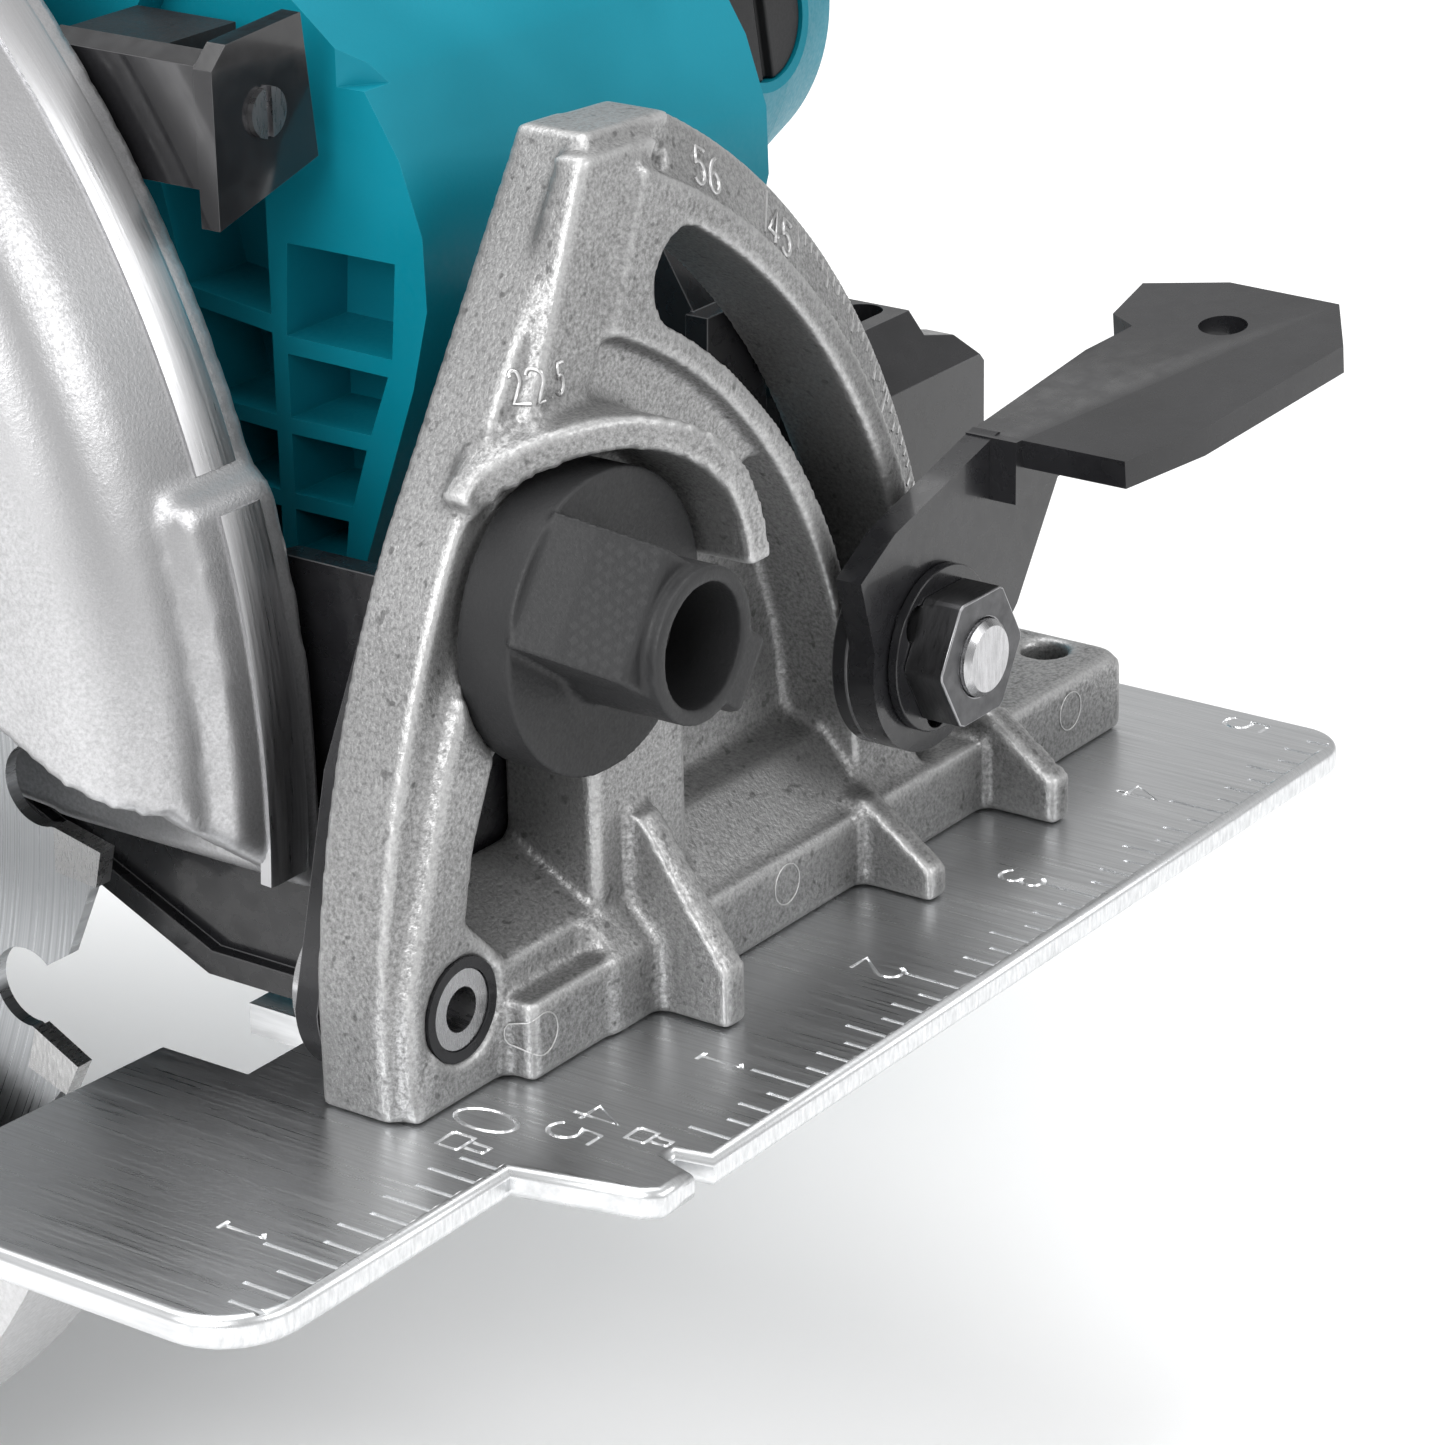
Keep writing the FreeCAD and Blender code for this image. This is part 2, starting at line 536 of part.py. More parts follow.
def make_tilt_frame():
    """Black pressed-steel frame behind the quadrant: front plate, side web and hinge ears."""
    px, pz = g.pivot_x, g.pivot_z
    front, thick = g.frame_y, g.frame_t
    back = front + thick
    heel = 8.4
    plate = prism([(px, pz - heel), (88.0, pz - heel), (88.0, 38.0), (60.0, 43.0), (50.0, 50.0), (12.4, 50.0),
                   (4.0, 34.0), (px - heel, pz), (polar((px, pz), heel, 225), (px, pz - heel))],
                  "XZ", front, back)
    web = prism([(front, 5.0), (47.0, 5.0), (72.0, 16.4), (72.0, 30.0), (52.0, 44.0), (36.0, 50.0),
                 (front, 50.0)], "YZ", g.web_x, g.web_x + thick)
    lip = prism([(34.0, 5.0), (47.0, 5.0), (72.0, 16.4), (72.0, 19.0), (46.4, 7.6), (34.0, 7.6)], "YZ",
                g.web_x - 1.4, g.web_x)
    frame = plate.fuse([web, lip])
    y, z = g.hinge_y, g.hinge_z
    ear = prism([(front, 34.0), (36.0, 34.0), (y + EAR_R, z), ((y, z + EAR_R), (y - EAR_R, z)), (front, 58.0)],
                "YZ", EAR_X, EAR_X + EAR_T)
    riser = prism([(60.0, 34.0), (72.0, 34.0), (70.0, 62.0), (61.0, 62.0)], "XZ", front, back)
    frame = frame.fuse([ear, riser])
    strap = prism([(70.0, 28.0), (88.0, 28.0), (88.0, 50.0), (78.0, 50.0)], "XZ", front, back)
    keep = tube(g.slot_mean + g.slot_half + 1.2, 10.0, (px, 20.0, pz), (0, 1, 0))
    edge = prism([(82.0, 34.0), (88.0, 34.0), (88.0, 50.0), (84.0, 50.0)], "XZ", front, back)
    frame = frame.fuse(strap.cut(keep).fuse(edge))
    frame = frame.cut(tube(4.0, 8.0, (px, 20.0, pz), (0, 1, 0)))
    frame = frame.cut(tube(7.2, 3.0, (px, back, pz), (0, 1, 0)))
    x, z = bolt_place()
    frame = frame.cut(tube(4.0, 8.0, (x, 20.0, z), (0, 1, 0)))
    frame = frame.cut(tube(g.hinge_r, 60.0, (30.0, g.hinge_y, g.hinge_z), (1, 0, 0)))
    shaped("tilt_frame", frame.removeSplitter())
    # folded lug at the motor end of the frame
    lug = prism([(front, 30.0), (front, 45.0), (27.0, 50.8), (35.6, 50.8), (35.6, 30.0)], "YZ", 89.0, 111.0)
    lug = lug.cut(prism([(back, 29.0), (back, 43.8), (28.2, 48.0), (40.0, 48.0), (40.0, 29.0)],
                        "YZ", 91.4, 108.6))
    step = prism([(103.6, 52.0), (103.6, 48.4), (108.0, 47.4), (112.0, 43.0), (112.0, 52.0)], "XZ", 20.0, 40.0)
    foot = prism([(88.0, 30.0), (88.0, 38.0), (92.0, 38.0), (92.0, 30.0)], "XZ", front, back)
    slot = prism([(96.6, 29.0), (101.0, 29.0), ((103.2, 31.2), (101.0, 33.4)), (96.6, 33.4),
                  ((94.4, 31.2), (96.6, 29.0))], "XY", 40.0, 60.0)
    shaped("frame_lug", lug.cut(step).fuse(foot).cut(slot).removeSplitter())
    name_node(turned("depth_hinge_pin", [
        (0.0, 46.0), (g.hinge_r - GAP, 46.0), (g.hinge_r - GAP, 83.3), (7.6, 83.3), (7.6, 85.0), (0.0, 85.0)],
        (0, g.hinge_y, g.hinge_z), ALONG_X), "depth_hinge_pin")
    # rear arm and slotted depth guide
    rear = rear_reach()
    arm = prism([(px, pz - heel), (g.guide_x, pz - heel), (g.guide_x, 48.0), (10.0, 48.0), (0.0, 24.0),
                 (px - heel, pz), (polar((px, pz), heel, 225), (px, pz - heel))], "XZ", rear, rear + thick)
    shaped("rear_arm", arm.cut(tube(3.0, 6.0, (px, rear - 1, pz), (0, 1, 0))))
    centre = (g.hinge_y, g.hinge_z)
    blade = sector(centre, g.guide_r - 9.0, g.guide_r + 9.0, -13.0, 30.0, "YZ",
                   g.guide_x, g.guide_x + g.guide_t)
    foot = prism([polar(centre, g.guide_r - 9.0, -12.9), polar(centre, g.guide_r + 9.0, -12.9),
                  (rear + g.frame_t, 48.0), (rear + g.frame_t, 20.0), (226.0, 20.0)],
                 "YZ", g.guide_x, g.guide_x + g.guide_t)
    slot = sector(centre, g.guide_r - 3.1, g.guide_r + 3.1, -9.0, 26.5, "YZ", g.guide_x - 1, g.guide_x + 5)
    for angle in (-9.0, 26.5):
        y, z = polar(centre, g.guide_r, angle)
        slot = slot.fuse(tube(3.1, 6.0, (g.guide_x - 1, y, z), (1, 0, 0)))
    shaped("depth_guide", blade.fuse(foot).cut(slot).removeSplitter())


# ---------------------------------------------------------------- guards

def drum(profile, start, stop):
    """Revolve a (radius, x) outline about the spindle between two angles."""
    face = Part.Face(Part.makePolygon([V(x, r, 0) for r, x in profile + profile[:1]]))
    solid = face.revolve(V(0, 0, 0), V(1, 0, 0), stop - start)
    solid.rotate(V(0, 0, 0), V(1, 0, 0), start)
    solid.translate(V(0, g.spindle_y, g.spindle_z))
    return solid


def make_guards():
    """Cast upper guard, swinging lower guard with its thumb lever."""
    r, wall = g.guard_r, g.guard_wall
    left, right = -g.guard_left, g.guard_right
    bend = 9.0
    rounded = [(r - bend + bend * math.sin(a), left + bend - bend * math.cos(a))
               for a in (math.radians(15.0 * step) for step in range(7))]
    hollow = [(r - bend + (bend - wall) * math.sin(a), left + bend - (bend - wall) * math.cos(a))
              for a in (math.radians(18.0 * step) for step in range(5, -1, -1))]
    upper = drum([(50.0, left + wall), (50.0, left)] + rounded + [
        (r, right), (26.0, right), (26.0, right - wall), (r - wall, right - wall)] + hollow, 15.0, 187.0)
    lip = drum([(r - 0.6, -3.0), (r + 1.6, -2.4), (r + 1.6, right), (r - 0.6, right)], 164.0, 187.0)
    upper = upper.fuse(lip)
    oblique = prism([(left - 2.0, 0.0), (left - 2.0, 34.0), (-8.0, 31.0), (right - 1.6, 18.6),
                     (right + 2.0, 18.6), (right + 2.0, 0.0)], "XZ", 25.0, 70.0)
    upper = upper.cut(oblique)
    skirt = prism([(20.0, 0.0), (20.0, 26.0), (32.0, 31.0), (60.0, 45.0), (84.0, 56.0), (95.0, 52.0),
                   (100.0, 0.0)], "YZ", left - 1.0, left + 6.6)
    upper = upper.cut(skirt)
    shaped("upper_guard", upper.removeSplitter())
    low_left, low_right, skin = -g.lower_left, g.lower_right, g.lower_wall
    rl = g.lower_r
    lower = drum([(38.0, low_left + skin), (38.0, low_left), (rl, low_left), (rl, low_right),
                  (g.hub_r + 6.0, low_right), (g.hub_r + 6.0, low_right - skin),
                  (rl - skin, low_right - skin), (rl - skin, low_left + skin)], 207.0, 372.0)
    hub = tube(g.hub_r + 6.2, skin, (low_right - skin, g.spindle_y, g.spindle_z), (1, 0, 0), g.hub_r + GAP)
    shaped("lower_guard", lower.fuse(hub).removeSplitter())
    lever = drum([(39.0, low_left), (39.0, low_left - 13.0), (46.0, low_left - 15.0), (46.5, low_left)],
                 300.0, 328.0)
    shaped("guard_lever", lever)


# ---------------------------------------------------------------- blade

TEETH = 24
FIRST_TOOTH = 184.2


def make_blade():
    """24-tooth framing blade, carbide tips, clamping flanges and arbor bolt."""
    r = g.blade_r
    half = g.blade_t / 2.0
    pitch = 360.0 / TEETH
    centre = (g.spindle_y, g.spindle_z)
    points = []
    tips = []
    for tooth in range(TEETH):
        a = FIRST_TOOTH + pitch * tooth
        points.append(polar(centre, r - 0.4, a + 0.75))
        points.append(polar(centre, r - 3.6, a + 8.0))
        points.append(polar(centre, r - 6.0, a + 9.6))
        points.append((polar(centre, r - 12.0, a + 12.6), polar(centre, r - 6.4, a + 14.6)))
        corner = [polar(centre, r, a), polar(centre, r - 0.5, a + 2.4), polar(centre, r - 5.6, a + 2.5),
                  polar(centre, r - 5.9, a - 0.55)]
        tips.append(prism(corner, "YZ", -g.kerf_half, g.kerf_half))
    disc = prism(points, "YZ", -half, half)
    disc = disc.cut(tube(g.spindle_r, 4.0, (-2.0, centre[0], centre[1]), (1, 0, 0)))
    carbide = Part.makeCompound(tips)
    shaped("saw_blade", disc.cut(carbide))
    shaped("carbide_tips", carbide)
    at = (0, g.spindle_y, g.spindle_z)
    name_node(turned("inner_flange", [
        (g.spindle_r, half), (g.flange_r, half), (g.flange_r, half + 1.6), (14.0, half + 3.4),
        (g.spindle_r, half + 3.4)], at, ALONG_X), "inner_flange")
    name_node(turned("outer_flange", [
        (4.0, -half - 3.4), (13.0, -half - 3.4), (g.flange_r, -half - 1.6), (g.flange_r, -half), (4.0, -half)],
        at, ALONG_X), "outer_flange")
    name_node(turned("spindle", [
        (0.0, 10.0), (4.0, 10.0), (4.0, -0.6), (g.spindle_r, -0.6), (g.spindle_r, half + 3.4),
        (8.6, half + 3.4),
        (8.6, 16.0), (9.4, 16.0), (9.4, 17.6), (8.0, 17.6), (8.0, 29.0), (6.0, 29.0), (6.0, 33.0), (0.0, 33.0)],
        at, ALONG_X), "spindle")
    head = hexagon(13.0, 0.0, 5.4, (0.0, 0.0))
    head.rotate(V(0, 0, 0), V(0, 0, 1), 90.0)
    head.translate(V(-half - 4.8, g.spindle_y, g.spindle_z))
    collar = tube(9.0, 1.4, (-half - 4.8, g.spindle_y, g.spindle_z), (1, 0, 0))
    stem = tube(4.0, half + 3.4 + 9.0, (-half - 3.5, g.spindle_y, g.spindle_z), (1, 0, 0))
    shaped("blade_bolt", head.fuse([collar, stem]).removeSplitter())


# ---------------------------------------------------------------- gears and motor

FAN_VANES = 12


def gear_profile(teeth, module, start, centre):
    """Tooth outline of a spur gear with slim teeth, so that a meshed pair has backlash."""
    pitch_r = teeth * module / 2.0
    step = 360.0 / teeth
    points = []
    for tooth in range(int(teeth)):
        a = start + step * tooth
        for radius, share in ((pitch_r - 1.15 * module, -0.31), (pitch_r + 0.85 * module, -0.12),
                              (pitch_r + 0.85 * module, 0.12), (pitch_r - 1.15 * module, 0.31)):
            points.append(polar(centre, radius, a + step * share))
    return points


def make_drive():
    """Spindle gear, armature with pinion, fan, commutator and the wound field."""
    centre = (g.spindle_y, g.spindle_z)
    motor = (g.motor_y, g.motor_z)
    line = math.degrees(math.atan2(motor[1] - centre[1], motor[0] - centre[0]))
    distance = math.hypot(motor[0] - centre[0], motor[1] - centre[1])
    module = 2.0 * distance / (g.gear_teeth + g.pinion_teeth)
    gear = prism(gear_profile(g.gear_teeth, module, line, centre), "YZ", g.gear_x, g.gear_x + g.gear_w)
    shaped("drive_gear", gear.cut(tube(8.0, 14.0, (g.gear_x - 2, centre[0], centre[1]), (1, 0, 0))))
    half_step = 180.0 / g.pinion_teeth
    pinion = prism(gear_profile(g.pinion_teeth, module, line + 180.0 + half_step, motor), "YZ",
                   g.gear_x - 1.0, g.gear_x + g.gear_w + 1.0)
    shaft = tube(2.6, 4.0, (g.gear_x - 4.6, motor[0], motor[1]), (1, 0, 0))
    shaft = shaft.fuse([pinion, tube(4.0, 170.0, (g.gear_x + g.gear_w + 1.0, motor[0], motor[1]), (1, 0, 0))])
    shaped("armature_shaft", shaft.removeSplitter())
    at = (0, g.motor_y, g.motor_z)
    fan_r = g.motor_r - g.motor_wall - 5.0
    disc = tube(fan_r, 1.6, (42.0, motor[0], motor[1]), (1, 0, 0)).fuse(
        tube(10.0, 12.0, (42.0, motor[0], motor[1]), (1, 0, 0))).cut(
        tube(4.0, 14.0, (41.0, motor[0], motor[1]), (1, 0, 0)))
    vanes = []
    for number in range(FAN_VANES):
        vane = prism([(9.0, -0.7), (fan_r - 1.0, -0.7), (fan_r - 1.0, 0.7), (9.0, 0.7)], "YZ", 43.0, 52.0)
        vane.rotate(V(0, 0, 0), V(1, 0, 0), 360.0 * number / FAN_VANES)
        vane.translate(V(0, g.motor_y, g.motor_z))
        vanes.append(vane)
    shaped("cooling_fan", disc.fuse(vanes).removeSplitter())
    name_node(turned("armature_core", [(4.0, 62.0), (22.0, 62.0), (22.0, 112.0), (17.0, 120.0), (4.0, 120.0)],
                     at, ALONG_X), "armature_core")
    name_node(turned("commutator", [(4.0, 164.0), (13.0, 164.0), (13.0, 182.0), (4.0, 182.0)], at, ALONG_X),
              "commutator")
    field = tube(g.motor_r - g.motor_wall - 2.0, 50.0, (62.0, motor[0], motor[1]), (1, 0, 0), 23.0)
    shaped("field_stator", field)
    bearings = [tube(11.0, 6.0, (29.6, motor[0], motor[1]), (1, 0, 0), 4.0 + GAP),
                tube(11.0, 7.0, (187.0, motor[0], motor[1]), (1, 0, 0), 4.0 + GAP)]
    shaped("armature_bearings", Part.makeCompound(bearings))
    bearings = [tube(17.0, 9.0, (5.6, centre[0], centre[1]), (1, 0, 0), 8.6 + GAP),
                tube(9.5, 4.6, (29.4, centre[0], centre[1]), (1, 0, 0), 6.0 + GAP)]
    shaped("spindle_bearings", Part.makeCompound(bearings))


# ---------------------------------------------------------------- housings

def make_gear_housing():
    """Machined aluminium gear case; its nose carries the lower guard."""
    sy, sz, my, mz = g.spindle_y, g.spindle_z, g.motor_y, g.motor_z
    right = g.guard_right
    end = g.motor_start
    nose = tube(g.hub_r, right - 4.9 + 2.0, (4.9, sy, sz), (1, 0, 0))
    drum_low = tube(27.8, end - right, (right, sy, sz), (1, 0, 0))
    drum_top = tube(19.0, end - right, (right, my, mz), (1, 0, 0))
    flange = tube(44.0, 4.0, (end - 4.0, my, mz), (1, 0, 0))
    case = nose.fuse([drum_low, drum_top, flange])
    case = case.cut(tube(26.2, 13.4, (16.2, sy, sz), (1, 0, 0)))
    case = case.cut(tube(10.0, 13.4, (16.2, my, mz), (1, 0, 0)))
    case = case.cut(tube(17.0, 9.0, (5.6, sy, sz), (1, 0, 0)))
    case = case.cut(tube(12.0, 12.4, (4.8, sy, sz), (1, 0, 0)))
    case = case.cut(tube(9.5, 4.6, (29.4, sy, sz), (1, 0, 0)))
    case = case.cut(tube(11.0, 7.0, (29.6, my, mz), (1, 0, 0)))
    case = case.cut(tube(4.0, 6.0, (12.0, my, mz), (1, 0, 0)))
    low = prism([(90.0, -20.0), (190.0, -20.0), (190.0, 0.6), (90.0, 0.6)], "YZ", 0.0, 60.0)
    shaped("gear_housing", case.cut(low).removeSplitter())


def cone_shell(extra, start, stop):
    """The outside of the motor housing, grown or shrunk by extra, between two x values."""
    r, tip = g.motor_r + extra, g.cone_r + extra
    profile = [(0.0, g.motor_start), (r, g.motor_start), (r, g.cone_start), (tip, g.cone_end),
               (tip - 4.0, g.motor_end + extra), (0.0, g.motor_end + extra)]
    face = Part.Face(Part.makePolygon([V(x, rad, 0) for rad, x in profile + profile[:1]]))
    solid = face.revolve(V(0, 0, 0), V(1, 0, 0), 360.0)
    solid.translate(V(0, g.motor_y, g.motor_z))
    window = Part.makeBox(stop - start, 200.0, 200.0, V(start, g.motor_y - 100.0, g.motor_z - 100.0))
    return solid.common(window)


GRIP_FOOT = (67.0, 92.0, 116.5)


def make_motor_housing():
    """Glass-filled plastic motor housing with the front nose, rib panel and end cover."""
    my, mz, wall = g.motor_y, g.motor_z, g.motor_wall
    barrel = cone_shell(0.0, g.motor_start, g.cone_end)
    nose = prism([(32.4, 62.0), (30.4, 70.0), (30.6, 77.0), (33.0, 84.0), (38.0, 92.0), (48.0, 100.0),
                  (62.0, 108.0),
                  (84.0, 116.0), (110.0, 122.0), (127.0, 112.0), (127.0, 60.0), (90.0, 44.0), (66.0, 42.0),
                  (40.0, 41.0)], "YZ", 28.0, 83.2)
    roof = prism([(56.0, 103.0), (84.0, 116.0), (110.0, 122.0), (127.0, 112.0), (127.0, 70.0), (70.0, 80.0)],
                 "YZ", 24.0, 110.0)
    shoulder = prism([(83.0, 30.4), (62.0, 30.4), (36.0, 33.0), (28.0, 40.0), (24.0, 56.0), (24.0, 110.0),
                      (83.0, 110.0)], "XY", 76.0, 108.0)
    nose = nose.common(shoulder.fuse(Part.makeBox(80.0, 110.0, 60.0, V(28.0, 25.0, 30.0))))
    nose = nose.cut(tongue_slot())
    shell = barrel.fuse([nose, roof])
    for low, high, points in rib_pockets():
        shell = shell.cut(prism(points, "YZ", low, high))
    inside = tube(g.motor_r - wall, 70.0, (g.motor_start - 1.0, my, mz), (1, 0, 0))
    cavity = cone_shell(-wall, g.motor_start, g.cone_end).fuse(inside.common(
        Part.makeBox(60.0, 200.0, 200.0, V(g.motor_start - 1.0, my - 100.0, mz - 100.0))))
    shell = shell.cut(cavity)
    shell = shell.cut(tube(44.0, 12.0, (24.0, my, mz), (1, 0, 0)))
    shell = shell.cut(tube(g.hinge_r, 40.0, (46.0, g.hinge_y, g.hinge_z), (1, 0, 0)))
    for side in (-1, 1):
        angle = brush_angle() if side > 0 else brush_angle() + 180.0
        boss = brush_tube(9.6, 24.0, 33.2, angle)
        shell = shell.fuse(boss).cut(brush_tube(8.3, 10.0, 40.0, angle))
    shell = shell.cut(tube(13.0, 12.0, GRIP_FOOT, (0, 0, 1)))
    shaped("motor_housing", shell.removeSplitter())
    cover = cone_shell(0.0, g.cone_end, g.motor_end)
    cover = cover.cut(tube(11.0, 9.0, (g.cone_end - 1.0, my, mz), (1, 0, 0)))
    cover = cover.cut(tube(5.0, 13.0, (g.cone_end - 1.0, my, mz), (1, 0, 0)))
    shaped("motor_end_cover", cover)


def tongue_slot():
    """Room in the nose for the frame's tongue while the saw swings through its depth range."""
    y, z, radius = g.hinge_y, g.hinge_z, EAR_R + 0.6
    front_top = polar((y, z), radius, 180.0 - DEPTH_SWING)
    return prism([(20.0, 20.0), (46.0, 20.0), (y + radius, z), ((y, z + radius), front_top), (20.0, z - 1.0)],
                 "YZ", EAR_X - 0.5, EAR_X + EAR_T + 0.5)


def rib_pockets():
    """Open pockets between the stiffening ribs of the nose, as (low x, high x, outline)."""
    rows = [[(41.6, 43.2), (47.6, 43.2), (47.6, 47.4), (41.0, 47.4)],
            [(49.4, 43.4), (55.6, 43.6), (56.0, 47.6), (49.4, 47.4)],
            [(40.4, 49.0), (47.6, 49.0), (47.6, 55.0), (38.4, 55.0)],
            [(49.4, 49.0), (56.4, 49.2), (57.4, 55.4), (49.4, 55.0)],
            [(37.8, 56.6), (47.6, 56.6), (47.6, 63.0), (35.4, 62.8)],
            [(49.4, 56.6), (57.8, 57.0), (59.6, 66.0), (49.4, 64.8)],
            [(34.8, 64.6), (47.6, 64.8), (47.0, 74.0), (34.0, 74.0)],
            [(49.4, 66.6), (60.0, 67.8), (66.0, 92.0), (49.4, 79.0)]]
    return [(23.0, 37.0, row) for row in rows]


def brush_angle():
    return 172.0


BRUSH_X = 174.0


def brush_tube(radius, inner, outer, angle):
    direction = (0.0, math.cos(math.radians(angle)), math.sin(math.radians(angle)))
    start = (BRUSH_X, g.motor_y + inner * direction[1], g.motor_z + inner * direction[2])
    return tube(radius, outer - inner, start, direction)


def make_brushes():
    """Two carbon brushes in brass holders behind slotted screw caps."""
    caps, holders, carbons = [], [], []
    for number, angle in enumerate((brush_angle(), brush_angle() + 180.0)):
        cap = brush_tube(8.2, 29.6, 32.8, angle)
        slot = brush_tube(8.6, 31.4, 34.0, angle).common(
            Part.makeBox(2.0, 400.0, 400.0, V(BRUSH_X - 1.0, -60.0, -150.0)))
        caps.append(cap.cut(slot))
        holders.append(brush_tube(6.0, 15.0, 29.4, angle).cut(brush_tube(4.0, 14.0, 30.0, angle)))
        carbons.append(brush_tube(3.9, 13.2, 26.0, angle))
    shaped("front_brush_cap", caps[0])
    shaped("rear_brush_cap", caps[1])
    shaped("brush_holders", Part.makeCompound(holders))
    shaped("carbon_brushes", Part.makeCompound(carbons))


# ---------------------------------------------------------------- handles and controls

CORD_AT = (37.0, 244.0, 72.0)
CORD_ALONG = (0.0, 0.9578, -0.2873)


def handle_half(low, high):
    """One clamshell of the D handle, hollow for the switch."""
    outer = prism([(120.0, 90.0), (112.0, 122.0), ((150.0, 166.0), (205.0, 158.0)),
                   ((246.0, 134.0), (250.0, 92.0)),
                   (238.0, 52.0), (232.0, 38.0), (206.0, 36.0), (176.0, 50.0), (160.0, 60.0)], "YZ", low, high)
    loop = prism([(150.0, 112.0), ((176.0, 132.0), (200.0, 126.0)), ((216.0, 112.0), (212.0, 88.0)),
                  ((196.0, 74.0), (176.0, 82.0)), (154.0, 98.0)], "YZ", low - 1, high + 1)
    middle = g.handle_x
    cavity = Part.makeBox(19.0, 21.0, 42.0, V(middle - 9.5, 215.5, 78.0))
    mouth = Part.makeBox(15.2, 20.0, 28.8, V(middle - 7.6, 196.0, 87.6))
    shell = outer.cut(loop).cut(cavity).cut(mouth)
    shell = shell.cut(tube(g.motor_r, 60.0, (g.motor_start, g.motor_y, g.motor_z), (1, 0, 0)))
    shell = shell.cut(tube(44.0, 22.0, (g.motor_start - 22.0, g.motor_y, g.motor_z), (1, 0, 0)))
    shell = shell.cut(tube(28.4, 40.0, (0.0, g.spindle_y, g.spindle_z), (1, 0, 0)))
    block_front = prism([(90.0, 60.0), (127.0, 60.0), (127.0, 112.0), (110.0, 122.0), (90.0, 122.0)], "YZ",
                        low - 1, high + 1)
    start = tuple(CORD_AT[axis] - 9.0 * CORD_ALONG[axis] for axis in range(3))
    shell = shell.cut(tube(6.0, 12.0, start, CORD_ALONG))
    return shell.cut(block_front)


def screw_places():
    return [(140.0, 138.0), (222.0, 134.0), (222.0, 66.0), (196.0, 56.0)]


def make_handle():
    """Rear handle halves, their screws, the front grip, switch and trigger."""
    middle, half = g.handle_x, g.handle_half
    left = handle_half(middle - half, middle)
    right = handle_half(middle, middle + half)
    y, z = polar((g.hinge_y, g.hinge_z), g.guide_r, -9.0)
    boss_left = middle - half - 2.2
    left = left.fuse(tube(8.0, 8.0, (boss_left, y, z), (1, 0, 0))).cut(tube(3.0, 30.0, (10.0, y, z), (1, 0, 0)))
    screws = []
    for sy, sz in screw_places():
        hole = tube(2.0, 40.0, (middle - 8.0, sy, sz), (1, 0, 0))
        sink = tube(4.2, 4.0, (middle + half - 3.0, sy, sz), (1, 0, 0))
        left = left.cut(hole)
        right = right.cut(hole).cut(sink)
        screws.append(tube(2.0, half + 4.0, (middle - 7.0, sy, sz), (1, 0, 0)).fuse(
            tube(4.0, 2.4, (middle + half - 3.0, sy, sz), (1, 0, 0))))
    shaped("handle_left", left.removeSplitter())
    shaped("handle_right", right.removeSplitter())
    shaped("handle_screws", Part.makeCompound(screws))
    name_node(turned("front_grip", [
        (0.0, 0.0), (13.0, 0.0), (13.0, 5.0), (12.0, 16.0), (14.0, 30.0), (15.0, 44.0), (12.0, 54.0),
        (6.0, 58.0), (0.0, 59.0)], GRIP_FOOT), "front_grip")
    name_node(padded("switch_body", "XY", [[(middle - 8.0, 222.0), (middle + 8.0, 222.0), (middle + 8.0, 235.0),
                                            (middle - 8.0, 235.0)]], 34.0, at=(0, 0, 82.0)), "switch_body")
    trigger = prism([(202.0, 90.0), (204.0, 96.0), ((203.0, 103.0), (205.0, 112.0)), (216.6, 114.0),
                     (216.6, 90.0)], "YZ", middle - 7.0, middle + 7.0)
    shaped("trigger", trigger)
    name_node(turned("cord_inlet", [(4.0, -8.0), (6.0, -8.0), (6.0, 0.1), (9.0, 0.1), (9.0, 6.0), (7.0, 20.0),
                                    (4.0, 20.0)], CORD_AT, FreeCAD.Rotation(V(0, 0, 1), V(*CORD_ALONG))),
              "cord_inlet")
    # depth clamp: bolt through the guide, thumb lever outside
    bolt = tube(3.0 - GAP, 18.0, (g.guide_x - 4.0, y, z), (1, 0, 0))
    head = tube(5.4, 2.6, (g.guide_x - 6.6, y, z), (1, 0, 0))
    shaped("depth_bolt", bolt.fuse(head).removeSplitter())


def make_controls():
    """Depth lever and spindle lock."""
    y, z = polar((g.hinge_y, g.hinge_z), g.guide_r, -9.0)
    x = g.guide_x - 3.8
    eye = tube(7.6, 3.4, (x, y, z), (1, 0, 0))
    arm = prism([(y - 5.0, z + 4.0), (y + 5.0, z + 4.0), (y + 12.0, z + 40.0), (y + 2.0, z + 42.0)],
                "YZ", x, x + 3.4)
    lever = eye.fuse(arm).cut(tube(3.0, 8.0, (x - 1.0, y, z), (1, 0, 0)))
    shaped("depth_lever", lever.removeSplitter())
    # pressed-steel button plate of the spindle lock and its pin
    plate = prism([(10.9, 80.4), (25.0, 84.2), (23.4, 98.0), (13.0, 97.2), (10.9, 95.2)], "XZ", 40.0, 42.2)
    arm = prism([(11.0, 84.0), (13.2, 84.0), (13.2, 96.4), (11.0, 95.4)], "XZ", 42.2, 60.0)
    lock = plate.fuse(arm)
    x, z = 17.8, 90.0
    shaped("lock_button", lock.cut(tube(2.4, 8.0, (x, 38.0, z), (0, 1, 0))).removeSplitter())
    pin = tube(2.4, 20.0, (x, 39.4, z), (0, 1, 0))
    slot = Part.makeBox(0.8, 1.0, 8.0, V(x - 0.4, 39.0, z - 4.0))
    shaped("lock_pin", pin.cut(slot))
    guide = Part.makeBox(9.8, 12.0, 12.0, V(13.8, 48.0, 84.0))
    shaped("lock_guide", guide.cut(tube(2.4 + GAP, 40.0, (x, 36.0, z), (0, 1, 0))))


